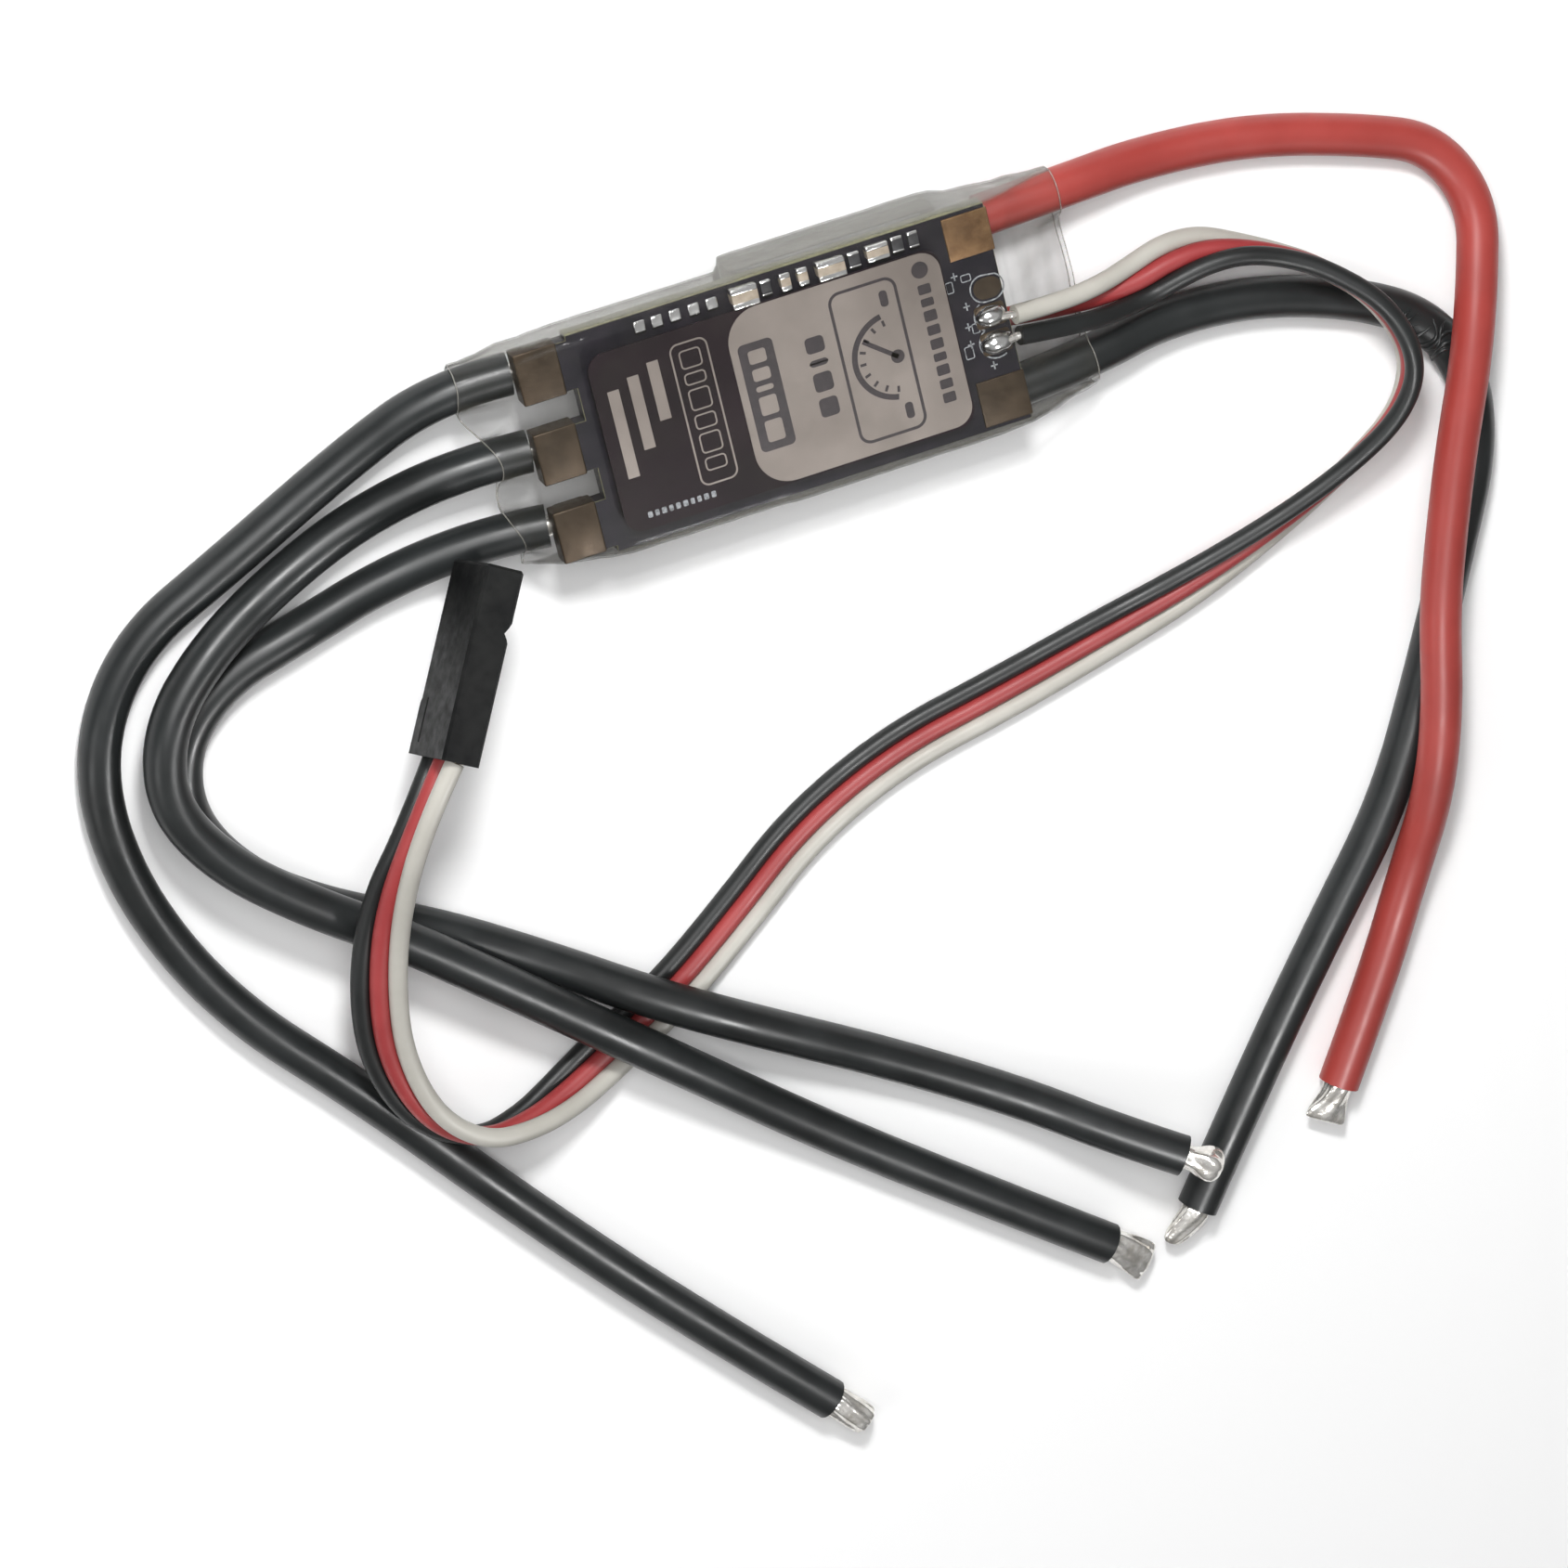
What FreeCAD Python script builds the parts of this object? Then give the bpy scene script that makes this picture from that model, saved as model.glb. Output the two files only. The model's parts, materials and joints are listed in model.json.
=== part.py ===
"""Electronic speed controller: circuit board in clear heat-shrink, five power leads, signal cable with plug.

Frame: X along the board from the three phase tabs to the two battery pads, Y across it, Z up.
Z = 0 is the surface it lies on. Millimetres.
"""
import FreeCAD
import Part
import math
import os

V = FreeCAD.Vector

# ---- board ----
BOARD_L = 31.4
BOARD_W = 16.4
BOARD_BOTTOM = 4.7
BOARD_TOP = 6.3
TAB_OUT = -19.5
TAB_W = 3.6
TAB_Y = (6.05, 0.0, -5.95)
PLATING = 0.12
PHASE_PAD_IN = -16.5

# ---- power leads: 16 AWG silicone wire ----
LEAD_OD = 3.1
STRAND_OD = 1.55
TIP_L = 3.4
TIP_R = 1.05
PHASE_EXIT_X = -19.9
PHASE_EXIT_Z = 3.8
BATTERY_EXIT_X = 15.9
BATTERY_EXIT_Z = 3.3

LEAD_A = [(-19.9, 6.0, 3.8), (-25.0, 6.2, 3.3), (-32.2, 2.9, 1.7), (-42.0, -1.7, 1.55),
          (-50.4, -5.4, 1.55), (-55.1, -12.8, 1.55), (-55.0, -22.5, 1.55), (-50.6, -33.4, 1.55),
          (-42.4, -43.4, 1.55), (-33.4, -55.8, 1.55), (-24.4, -67.4, 1.55), (-14.9, -78.5, 1.55)]
LEAD_B = [(-19.9, 0.1, 3.8), (-25.0, 0.3, 3.3), (-32.6, -1.4, 2.0), (-39.4, -4.0, 2.4),
          (-45.2, -6.6, 4.0), (-49.8, -10.6, 4.95), (-51.2, -16.2, 4.95), (-48.6, -21.6, 4.95),
          (-43.8, -26.4, 4.95), (-37.6, -31.4, 4.9), (-31.5, -37.1, 4.75), (-26.0, -42.5, 3.8),
          (-19.6, -48.6, 3.4), (-10.6, -57.6, 1.6), (-0.6, -66.3, 1.55), (8.4, -73.9, 1.55)]
LEAD_C = [(-19.9, -5.6, 3.8), (-24.2, -5.4, 2.8), (-31.5, -6.4, 1.6), (-38.6, -8.3, 1.55),
          (-44.6, -9.8, 1.55), (-48.8, -13.6, 1.55), (-49.7, -19.2, 1.55), (-46.7, -24.7, 1.55),
          (-41.4, -29.0, 1.55), (-34.4, -32.9, 1.55), (-27.4, -37.9, 1.7), (-20.4, -42.9, 3.25),
          (-13.6, -47.5, 3.2), (-4.8, -53.6, 1.7), (4.4, -60.2, 1.7), (10.0, -64.4, 3.6),
          (14.6, -67.5, 4.9)]
LEAD_POSITIVE = [(15.9, 6.35, 3.3), (22.4, 6.5, 3.1), (29.0, 6.3, 1.7), (37.2, 5.4, 1.55),
                 (43.4, 3.6, 1.55), (48.6, 0.8, 1.6), (52.0, -4.2, 2.2), (52.0, -10.6, 4.0),
                 (49.6, -16.6, 5.0), (46.4, -24.4, 5.0), (43.6, -32.6, 5.0), (41.2, -40.4, 4.95),
                 (39.4, -47.0, 4.0), (36.9, -53.2, 1.8), (33.0, -60.4, 1.55), (28.3, -67.6, 1.55)]
LEAD_NEGATIVE = [(15.9, -6.7, 3.3), (21.6, -6.4, 3.1), (27.8, -5.7, 1.7), (35.0, -6.3, 1.55),
                 (42.2, -8.8, 1.55), (47.2, -12.0, 1.55), (49.6, -17.0, 1.55), (48.9, -23.0, 1.55),
                 (45.8, -29.6, 1.55), (41.6, -38.2, 1.55), (36.8, -47.2, 1.55), (29.8, -55.4, 1.55),
                 (22.6, -64.2, 1.55), (15.6, -73.4, 1.55)]

# ---- signal cable: three bonded cores; axis x, y, z and the roll of the black core in degrees ----
CORE_OD = 1.26
CORE_PITCH = 1.4
CORE_NAMES = ("black", "red", "white")
CORE_OFFSETS = (1, 0, -1)
RIBBON = [(26.2, -1.9, 3.6, 180), (28.8, -1.2, 3.6, 155), (31.4, -1.1, 3.5, 125),
          (34.0, -1.8, 3.5, 95), (36.6, -3.0, 3.7, 80), (39.4, -4.7, 4.3, 72),
          (43.0, -8.2, 5.5, 70), (44.6, -13.0, 5.6, 78), (43.0, -17.2, 4.6, 92),
          (38.6, -20.6, 3.1, 105), (32.8, -23.4, 2.3, 130), (25.8, -26.0, 1.5, 155),
          (18.4, -27.9, 0.9, 172), (10.0, -29.8, 0.75, 180), (1.6, -31.3, 0.75, 180),
          (-6.4, -34.7, 0.75, 180), (-12.6, -39.4, 0.75, 180), (-18.6, -43.6, 0.75, 181),
          (-24.6, -46.6, 1.0, 196), (-28.4, -48.0, 2.1, 230), (-31.9, -48.7, 3.3, 262), (-35.6, -48.5, 4.3, 286),
          (-39.2, -45.4, 5.0, 306), (-41.0, -39.6, 6.1, 330), (-40.6, -33.2, 7.8, 338),
          (-38.8, -27.0, 9.4, 312)]
CORE_STARTS = {"black": [(16.0, -1.9, 6.75), (19.6, -2.6, 6.0), (23.0, -3.2, 4.9)],
               "red": [(16.0, -1.3, 3.7), (19.6, -1.8, 3.7), (23.0, -2.1, 3.6)],
               "white": [(16.0, -0.3, 6.75), (19.6, -0.7, 6.0), (23.0, -0.8, 4.9)]}

# ---- plug: three-way 2.54 mm socket housing, standing on its narrow edge ----
PLUG_L = 14.0
PLUG_W = 7.7
PLUG_T = 2.8
PLUG_PITCH = 2.54
PLUG_WIRE_END = V(-32.45, -17.05, 11.45)
PLUG_AZIMUTH = math.radians(58.0)
PLUG_DIP = math.radians(-14.0)
BARREL_L = 3.0
BARREL_R = 0.72
CAVITY = 1.8
MOUTH = 0.9
MOUTH_L = 1.2

# ---- parts on the board ----
MOSFET = (6.0, 5.0, 1.0)
MOSFET_X = (2.2, 8.4)
MOSFET_Y = (5.3, 0.0, -5.3)
PAD_T = 0.5
SPREADER = (-2.5, 13.0, -8.0, 8.0, 0.2, 3.2)
LABEL_BOTTOM = 7.1
LABEL_T = 0.1
FILM_T = 0.15

# sleeve sections: x, half width, bottom, top
SLEEVE = [(-21.9, 7.95, 1.5, 5.8), (-19.4, 8.25, 2.0, 6.95), (-15.6, 8.5, 2.7, 7.6),
          (-3.4, 8.5, 2.7, 7.8), (-2.7, 8.6, 0.0, 7.8), (13.2, 8.6, 0.0, 7.8),
          (14.2, 8.5, 0.9, 7.8), (16.2, 8.45, 1.3, 7.75), (21.9, 8.3, 1.2, 6.9)]

os.makedirs("parts", exist_ok=True)
ALL = {}


def save(name, shape):
    """Write one node and keep it for the overlap test."""
    ALL[name] = shape
    shape.exportStep("parts/" + name + ".step")
    solids = len(shape.Solids)
    print(name, "solids", solids, "volume", round(shape.Volume, 3), "valid", shape.isValid())


def box(x0, x1, y0, y1, z0, z1):
    return Part.makeBox(x1 - x0, y1 - y0, z1 - z0, V(x0, y0, z0))


def chip(cx, cy, lx, ly, z0, z1):
    return box(cx - lx / 2, cx + lx / 2, cy - ly / 2, cy + ly / 2, z0, z1)


def rod(p, q, r):
    p = V(*p)
    q = V(*q)
    return Part.makeCylinder(r, (q - p).Length, p, q - p)


def rounded_plate(x0, x1, y0, y1, z0, z1, r):
    body = box(x0, x1, y0, y1, z0, z1)
    upright = [e for e in body.Edges if abs(e.tangentAt(e.FirstParameter).z) > 0.99]
    return body.makeFillet(r, upright)


# ---- cords ----
def swept(points, diameter):
    """Straight runs joined by tangent arcs, swept with a round section."""
    pts = [V(*p) for p in points]
    edges = []
    radii = []
    here = pts[0]
    for before, corner, after in zip(pts, pts[1:], pts[2:]):
        into = (corner - before).normalize()
        out = (after - corner).normalize()
        turn = into.getAngle(out)
        reach = 0.45 * min((corner - before).Length, (after - corner).Length)
        radius = reach / math.tan(turn / 2)
        radii.append(radius)
        start = corner - into * reach
        end = corner + out * reach
        middle = corner + (out - into).normalize() * (radius / math.cos(turn / 2) - radius)
        edges.append(Part.LineSegment(here, start).toShape())
        edges.append(Part.Arc(start, middle, end).toShape())
        here = end
    edges.append(Part.LineSegment(here, pts[-1]).toShape())
    path = Part.Wire(edges)
    ring = Part.Wire(Part.makeCircle(diameter / 2, pts[0], pts[1] - pts[0]))
    tube = path.makePipeShell([ring], True, False)
    expected = math.pi * diameter ** 2 / 4 * path.Length
    print("  cord length", round(path.Length, 1), "least radius", round(min(radii), 1),
          "diameters", round(min(radii) / diameter, 1), "volume ratio", round(tube.Volume / expected, 4))
    return tube


def ribbon_core(offset):
    """Points of one core, set off from the ribbon's axis across its roll."""
    axis = [V(*p[:3]) for p in RIBBON]
    flat = [V(p[0], p[1], 0) for p in RIBBON]
    out = []
    for i, p in enumerate(axis):
        steps = []
        if i > 0:
            steps.append((flat[i] - flat[i - 1]).normalize())
        if i < len(axis) - 1:
            steps.append((flat[i + 1] - flat[i]).normalize())
        along = V(0, 0, 0)
        for s in steps:
            along = along + s
        along.normalize()
        stretch = 1 / max(along.dot(steps[0]), 0.5)
        side = V(-along.y, along.x, 0) * stretch
        roll = math.radians(RIBBON[i][3])
        out.append(p + (side * math.cos(roll) + V(0, 0, math.sin(roll))) * (offset * CORE_PITCH))
    return out


PLUG_AXIS = V(math.cos(PLUG_DIP) * math.cos(PLUG_AZIMUTH), math.cos(PLUG_DIP) * math.sin(PLUG_AZIMUTH),
              math.sin(PLUG_DIP))
PLUG_UP = V(-math.sin(PLUG_DIP) * math.cos(PLUG_AZIMUTH), -math.sin(PLUG_DIP) * math.sin(PLUG_AZIMUTH),
            math.cos(PLUG_DIP))
PLUG_SIDE = PLUG_UP.cross(PLUG_AXIS)


def core_route(name, offset):
    route = [V(*p) for p in CORE_STARTS[name]]
    route += ribbon_core(offset)
    lead_in = PLUG_WIRE_END - PLUG_AXIS * 5.0 + PLUG_SIDE * 0.9
    route.append(lead_in - PLUG_UP * (offset * 1.9))
    route.append(PLUG_WIRE_END - PLUG_UP * (offset * PLUG_PITCH))
    return [(p.x, p.y, p.z) for p in route]


def in_plug(shape):
    """From the plug's own frame (X along it, Y across its thickness, Z up its width) to the row frame."""
    m = FreeCAD.Matrix(PLUG_AXIS.x, PLUG_SIDE.x, PLUG_UP.x, PLUG_WIRE_END.x,
                       PLUG_AXIS.y, PLUG_SIDE.y, PLUG_UP.y, PLUG_WIRE_END.y,
                       PLUG_AXIS.z, PLUG_SIDE.z, PLUG_UP.z, PLUG_WIRE_END.z, 0, 0, 0, 1)
    placed = shape.copy()
    placed.Placement = FreeCAD.Placement(m)
    return placed


# ---- board and its plating ----
def main_board():
    body = box(-BOARD_L / 2, BOARD_L / 2, -BOARD_W / 2, BOARD_W / 2, BOARD_BOTTOM, BOARD_TOP)
    for y in TAB_Y:
        body = body.fuse(box(TAB_OUT, -BOARD_L / 2 + 1, y - TAB_W / 2, y + TAB_W / 2, BOARD_BOTTOM, BOARD_TOP))
    return body.removeSplitter()


def phase_pads(board):
    caps = []
    for y in TAB_Y:
        half = TAB_W / 2 + PLATING
        cap = box(TAB_OUT - PLATING, PHASE_PAD_IN, y - half, y + half,
                  BOARD_BOTTOM - PLATING, BOARD_TOP + PLATING)
        caps.append(cap.cut(board))
    return Part.makeCompound(caps)


def battery_pad(board, x0, y0, y1):
    clip = box(x0, BOARD_L / 2 + PLATING, y0, y1, BOARD_BOTTOM - PLATING, BOARD_TOP + PLATING)
    return clip.cut(board)


def signal_pads():
    oval = Part.makeCylinder(0.75, 0.08, V(14.35, 2.1, BOARD_TOP))
    oval = oval.fuse(Part.makeCylinder(0.75, 0.08, V(14.85, 2.1, BOARD_TOP))).removeSplitter()
    hull = box(14.35, 14.85, 1.35, 2.85, BOARD_TOP, BOARD_TOP + 0.08)
    oval = oval.fuse(hull).removeSplitter()
    white = chip(14.35, 0.07, 2.3, 1.7, BOARD_TOP, BOARD_TOP + 0.08)
    black = chip(14.35, -1.95, 2.3, 1.7, BOARD_TOP, BOARD_TOP + 0.08)
    red = chip(14.5, -1.3, 1.8, 1.7, BOARD_BOTTOM - 0.08, BOARD_BOTTOM)
    return Part.makeCompound([oval, white, black, red])


# ---- leads' bared ends and solder ----
def phase_strand(y, lead):
    return rod((PHASE_EXIT_X - 0.2, y, PHASE_EXIT_Z), (-16.7, y, PHASE_EXIT_Z), STRAND_OD / 2).cut(lead)


def battery_strand(y, lead):
    return rod((BATTERY_EXIT_X + 0.2, y, BATTERY_EXIT_Z), (13.3, y, BATTERY_EXIT_Z), STRAND_OD / 2).cut(lead)


def under_joint(x0, x1, y, z0, strand):
    """A mound of solder under a pad, around the bared end."""
    top = BOARD_BOTTOM - PLATING
    low = rounded_plate(x0 + 0.35, x1 - 0.35, y - 1.05, y + 1.05, z0, z0 + 0.01, 0.3)
    bottom_wire = low.Faces[-1].OuterWire
    for f in low.Faces:
        if abs(f.CenterOfMass.z - z0) < 1e-6:
            bottom_wire = f.OuterWire
    high = rounded_plate(x0, x1, y - 1.6, y + 1.6, top - 0.01, top, 0.3)
    top_wire = high.Faces[0].OuterWire
    for f in high.Faces:
        if abs(f.CenterOfMass.z - top) < 1e-6:
            top_wire = f.OuterWire
    mound = Part.makeLoft([bottom_wire, top_wire], True, True)
    return mound.cut(strand)


def signal_strands(cores):
    white = rod((16.2, -0.3, 6.75), (13.9, 0.05, 6.75), 0.3).cut(cores["white"])
    black = rod((16.2, -1.9, 6.75), (13.9, -1.95, 6.75), 0.3).cut(cores["black"])
    red = rod((16.2, -1.3, 3.65), (13.9, -1.3, 4.2), 0.3).cut(cores["red"])
    return [white, black, red]


def signal_joint(x, y, z, up, strand):
    ball = Part.makeSphere(0.85, V(0, 0, 0))
    m = FreeCAD.Matrix()
    m.scale(1.15, 0.95, 0.95)
    ball = ball.transformGeometry(m)
    ball.translate(V(x, y, z))
    keep = box(x - 2, x + 2, y - 2, y + 2, z, z + 2) if up else box(x - 2, x + 2, y - 2, y + 2, z - 2, z)
    return ball.common(keep).cut(strand)


def tip_frame(route):
    """End point, direction along the lead, level direction across it."""
    end = V(*route[-1])
    along = (end - V(*route[-2])).normalize()
    across = along.cross(V(0, 0, 1)).normalize()
    return end, along, across


def round_tip(route, radius, length):
    """Strands tinned into a straight rod with a softened end."""
    end, along, across = tip_frame(route)
    pin = Part.makeCylinder(radius, length, end, along)
    far = [e for e in pin.Edges if (e.CenterOfMass - (end + along * length)).Length < 1e-3]
    return pin.makeFillet(0.3, far)


def blob_tip(route, r0, neck, r1):
    end, along, across = tip_frame(route)
    stem = Part.makeCylinder(r0, neck + 0.6, end, along)
    ball = Part.makeSphere(r1, end + along * (neck + r1 * 0.8))
    return stem.fuse(ball).removeSplitter()


def flat_tip(route, r0, width0, width1, thick, length):
    """Round where it leaves the insulation, pressed flat towards the end."""
    end, along, across = tip_frame(route)
    up = across.cross(along).normalize()
    stem = Part.makeCylinder(r0, length * 0.45, end, along)
    first = end + along * 0.5
    last = end + along * length
    wires = []
    for p, w, t in ((first, width0, thick * 1.3), (last, width1, thick)):
        a = p + across * (w / 2) + up * (t / 2)
        b = p - across * (w / 2) + up * (t / 2)
        c = p - across * (w / 2) - up * (t / 2)
        d = p + across * (w / 2) - up * (t / 2)
        wires.append(Part.makePolygon([a, b, c, d, a]))
    blade = Part.makeLoft(wires, True, True)
    return stem.fuse(blade).removeSplitter()


# ---- underside: switching stage and its cooling ----
def mosfets(x):
    return Part.makeCompound([chip(x, y, MOSFET[0], MOSFET[1], BOARD_BOTTOM - MOSFET[2], BOARD_BOTTOM)
                              for y in MOSFET_Y])


def heat_spreader():
    x0, x1, y0, y1, z0, z1 = SPREADER
    body = box(x0, x1, y0, y1, z0, z1)
    low = [e for e in body.Edges if abs(e.CenterOfMass.z - z0) < 1e-6]
    return body.makeChamfer(0.4, low)


def bulk_capacitors():
    parts = []
    for x in (-12.6, -9.0, -5.4):
        for y in (-6.3, -4.2):
            parts.append(chip(x, y, 3.2, 1.6, BOARD_BOTTOM - 1.6, BOARD_BOTTOM))
        for y in (-2.1, 0.0, 2.1, 4.2, 6.3):
            parts.append(chip(x, y, 3.2, 1.6, BOARD_BOTTOM - 1.6, BOARD_BOTTOM))
    return Part.makeCompound(parts)


# ---- top side, under the label ----
def top_chip(cx, cy, lx, ly, h):
    return chip(cx, cy, lx, ly, BOARD_TOP, BOARD_TOP + h)


def small_passives():
    parts = []
    for x in (-12.8, -11.4, -7.2, -5.8):
        for y in (-5.2, -3.6, 3.9):
            parts.append(top_chip(x, y, 1.0, 0.5, 0.5))
    for y in (-5.6, -4.0, -2.4, 0.8, 2.4, 4.0):
        parts.append(top_chip(0.9, y, 0.5, 1.0, 0.5))
    return Part.makeCompound(parts)


# ---- row of parts along the +Y edge, in view beside the label ----
EDGE_CAPACITORS = [(-2.75, 7.25, 2.0, 1.5, 1.1), (3.75, 7.25, 2.1, 1.4, 1.1), (7.3, 7.35, 1.7, 1.2, 0.9)]
EDGE_RESISTORS = [(-1.0, 7.2, 0.8, 1.2, 0.45), (5.6, 7.2, 0.9, 1.2, 0.5), (8.9, 7.3, 0.9, 1.2, 0.45),
                  (10.1, 7.3, 0.8, 1.2, 0.45)]
EDGE_SMALL = [(0.4, 7.25, 0.8, 1.3, 0.75), (1.7, 7.25, 0.8, 1.3, 0.75)]
EDGE_PADS = [(-10.4, 7.25), (-9.1, 7.25), (-7.75, 7.25), (-6.35, 7.25), (-5.0, 7.25)]


def edge_row(rows):
    return Part.makeCompound([top_chip(x, y, lx, ly, h) for x, y, lx, ly, h in rows])


def edge_pads():
    parts = []
    for x, y in EDGE_PADS:
        pad = top_chip(x, y, 0.87, 0.95, 0.3)
        top = [e for e in pad.Edges if abs(e.CenterOfMass.z - BOARD_TOP - 0.3) < 1e-6]
        parts.append(pad.makeChamfer(0.12, top))
    return Part.makeCompound(parts)


# ---- label ----
def label_backing():
    return rounded_plate(-14.9, 11.5, -7.0, 6.48, LABEL_BOTTOM, LABEL_BOTTOM + LABEL_T, 1.3)


def label_panel():
    """Bright panel on the label's battery half, with two wide and two narrow rounded corners."""
    z = LABEL_BOTTOM + LABEL_T
    top, bottom, right, left = 6.4, -6.85, 11.4, -4.75
    wide, narrow = 2.6, 1.5
    half = math.sqrt(0.5)
    outline = []

    def corner(cx, cy, r, sx, sy, swap):
        ends = [V(cx + sx * r, cy, z), V(cx + sx * r * half, cy + sy * r * half, z), V(cx, cy + sy * r, z)]
        outline.append(ends[::-1] if swap else ends)

    corner(right - narrow, top - narrow, narrow, 1, 1, False)
    corner(left + wide, top - wide, wide, -1, 1, True)
    corner(left + wide, bottom + wide, wide, -1, -1, False)
    corner(right - narrow, bottom + narrow, narrow, 1, -1, True)
    edges = []
    for i, (a, b, c) in enumerate(outline):
        edges.append(Part.Arc(a, b, c).toShape())
        edges.append(Part.LineSegment(c, outline[(i + 1) % 4][0]).toShape())
    return Part.Face(Part.Wire(edges)).extrude(V(0, 0, 0.05))


# ---- clear sleeve ----
def sleeve_wire(x, half, z0, z1, inset):
    h = half - inset
    a = z0 + inset
    b = z1 - inset
    r = 0.9 - inset
    k = r * math.sqrt(0.5)
    s = [V(x, -h, a + r), V(x, -h, b - r), V(x, -h + r, b), V(x, h - r, b),
         V(x, h, b - r), V(x, h, a + r), V(x, h - r, a), V(x, -h + r, a)]
    edges = [Part.LineSegment(s[0], s[1]).toShape(),
             Part.Arc(s[1], V(x, -h + r - k, b - r + k), s[2]).toShape(),
             Part.LineSegment(s[2], s[3]).toShape(),
             Part.Arc(s[3], V(x, h - r + k, b - r + k), s[4]).toShape(),
             Part.LineSegment(s[4], s[5]).toShape(),
             Part.Arc(s[5], V(x, h - r + k, a + r - k), s[6]).toShape(),
             Part.LineSegment(s[6], s[7]).toShape(),
             Part.Arc(s[7], V(x, -h + r - k, a + r - k), s[0]).toShape()]
    return Part.Wire(edges)


def sleeve():
    outer = Part.makeLoft([sleeve_wire(x, h, a, b, 0) for x, h, a, b in SLEEVE], True, True)
    inner_sections = [sleeve_wire(x, h, a, b, FILM_T) for x, h, a, b in SLEEVE]
    inner = Part.makeLoft(inner_sections, True, True)
    first = Part.Face(inner_sections[0]).extrude(V(-1, 0, 0))
    last = Part.Face(inner_sections[-1]).extrude(V(1, 0, 0))
    return outer.cut(inner).cut(first).cut(last)


# ---- plug ----
def plug_housing():
    """X from the wire end to the mouth, Y across the thickness, Z from the black to the white core's edge."""
    half_t = PLUG_T / 2
    half_w = PLUG_W / 2
    body = box(0, PLUG_L, -half_t, half_t, -half_w, half_w)
    long_edges = [e for e in body.Edges if abs(e.tangentAt(e.FirstParameter).x) > 0.99]
    mouth = [e for e in body.Edges if abs(e.CenterOfMass.x - PLUG_L) < 1e-6]
    body = body.makeChamfer(0.2, long_edges + mouth)
    relief = [V(3.3, -PLUG_T, -half_w), V(4.0, -PLUG_T, -half_w + 0.4), V(PLUG_L, -PLUG_T, -half_w + 0.4),
              V(PLUG_L, -PLUG_T, -half_w - 1), V(3.3, -PLUG_T, -half_w - 1), V(3.3, -PLUG_T, -half_w)]
    body = body.cut(Part.Face(Part.makePolygon(relief)).extrude(V(0, 2 * PLUG_T, 0)))
    nick = [V(8.7, -half_t - 0.1, 1.0), V(9.5, -half_t + 0.45, 1.0), V(10.5, -half_t - 0.1, 1.0),
            V(8.7, -half_t - 0.1, 1.0)]
    body = body.cut(Part.Face(Part.makePolygon(nick)).extrude(V(0, 0, half_w)))
    body = body.cut(box(0.9, 4.1, half_t - 0.35, half_t + 1, -2.3, -2.0))
    for offset in CORE_OFFSETS:
        z = offset * PLUG_PITCH
        body = body.cut(Part.makeCylinder(BARREL_R, BARREL_L, V(0, 0, z), V(1, 0, 0)))
        body = body.cut(box(BARREL_L, PLUG_L - MOUTH_L, -CAVITY / 2, CAVITY / 2, z - CAVITY / 2, z + CAVITY / 2))
        body = body.cut(box(PLUG_L - MOUTH_L, PLUG_L, -MOUTH / 2, MOUTH / 2, z - MOUTH / 2, z + MOUTH / 2))
        body = body.cut(box(5.0, 7.4, -half_t, -CAVITY / 2, z - 0.7, z + 0.7))
    return body


def plug_contacts():
    parts = []
    for offset in CORE_OFFSETS:
        z = -offset * PLUG_PITCH
        barrel = Part.makeCylinder(BARREL_R - 0.06, BARREL_L + 0.2, V(0, 0, z), V(1, 0, 0))
        shell = box(BARREL_L + 0.1, PLUG_L - MOUTH_L - 0.1, -0.82, 0.82, z - 0.82, z + 0.82)
        shell = shell.cut(box(BARREL_L + 2.5, PLUG_L, -0.5, 0.5, z - 0.5, z + 0.5))
        parts.append(barrel.fuse(shell).removeSplitter())
    return Part.makeCompound(parts)


# ---- build ----
board = main_board()
save("main_board", board)
save("phase_pads", phase_pads(board))
save("battery_pad_positive", battery_pad(board, 12.4, 4.7, 7.9))
save("battery_pad_negative", battery_pad(board, 12.2, -7.9, -4.5))
save("signal_pads", signal_pads())

save("power_mosfets_high", mosfets(MOSFET_X[0]))
save("power_mosfets_low", mosfets(MOSFET_X[1]))
save("thermal_pad", box(-1.2, 11.8, -7.9, 7.9, SPREADER[5], SPREADER[5] + PAD_T))
save("heat_spreader", heat_spreader())
save("bulk_capacitors", bulk_capacitors())

save("microcontroller", top_chip(-2.8, -1.2, 5.0, 5.0, 0.8))
save("gate_drivers", Part.makeCompound([top_chip(4.2, y, 3.0, 3.0, 0.75) for y in (-5.0, -0.9, 3.2)]))
save("voltage_regulator", top_chip(-9.6, 0.2, 3.0, 3.0, 0.8))
save("power_inductor", top_chip(-12.9, 0.2, 2.5, 2.0, 0.8))
save("current_shunt", top_chip(8.4, -3.0, 3.2, 6.3, 0.6))
save("small_passives", small_passives())
save("edge_capacitors", edge_row(EDGE_CAPACITORS))
save("edge_resistors", edge_row(EDGE_RESISTORS))
save("edge_small_capacitors", edge_row(EDGE_SMALL))
save("edge_solder_pads", edge_pads())
save("label_backing", label_backing())
save("label_panel", label_panel())
save("heat_shrink_sleeve", sleeve())

phase_routes = {"a": LEAD_A, "b": LEAD_B, "c": LEAD_C}
joints = []
for letter, y in zip("abc", (6.0, 0.1, -5.6)):
    lead = swept(phase_routes[letter], LEAD_OD)
    strand = phase_strand(y, lead)
    save("phase_lead_" + letter, lead)
    save("phase_strand_" + letter, strand)
    joints.append(under_joint(-19.3, -16.8, y, 2.98, strand))
save("phase_solder_joints", Part.makeCompound(joints))

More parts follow.
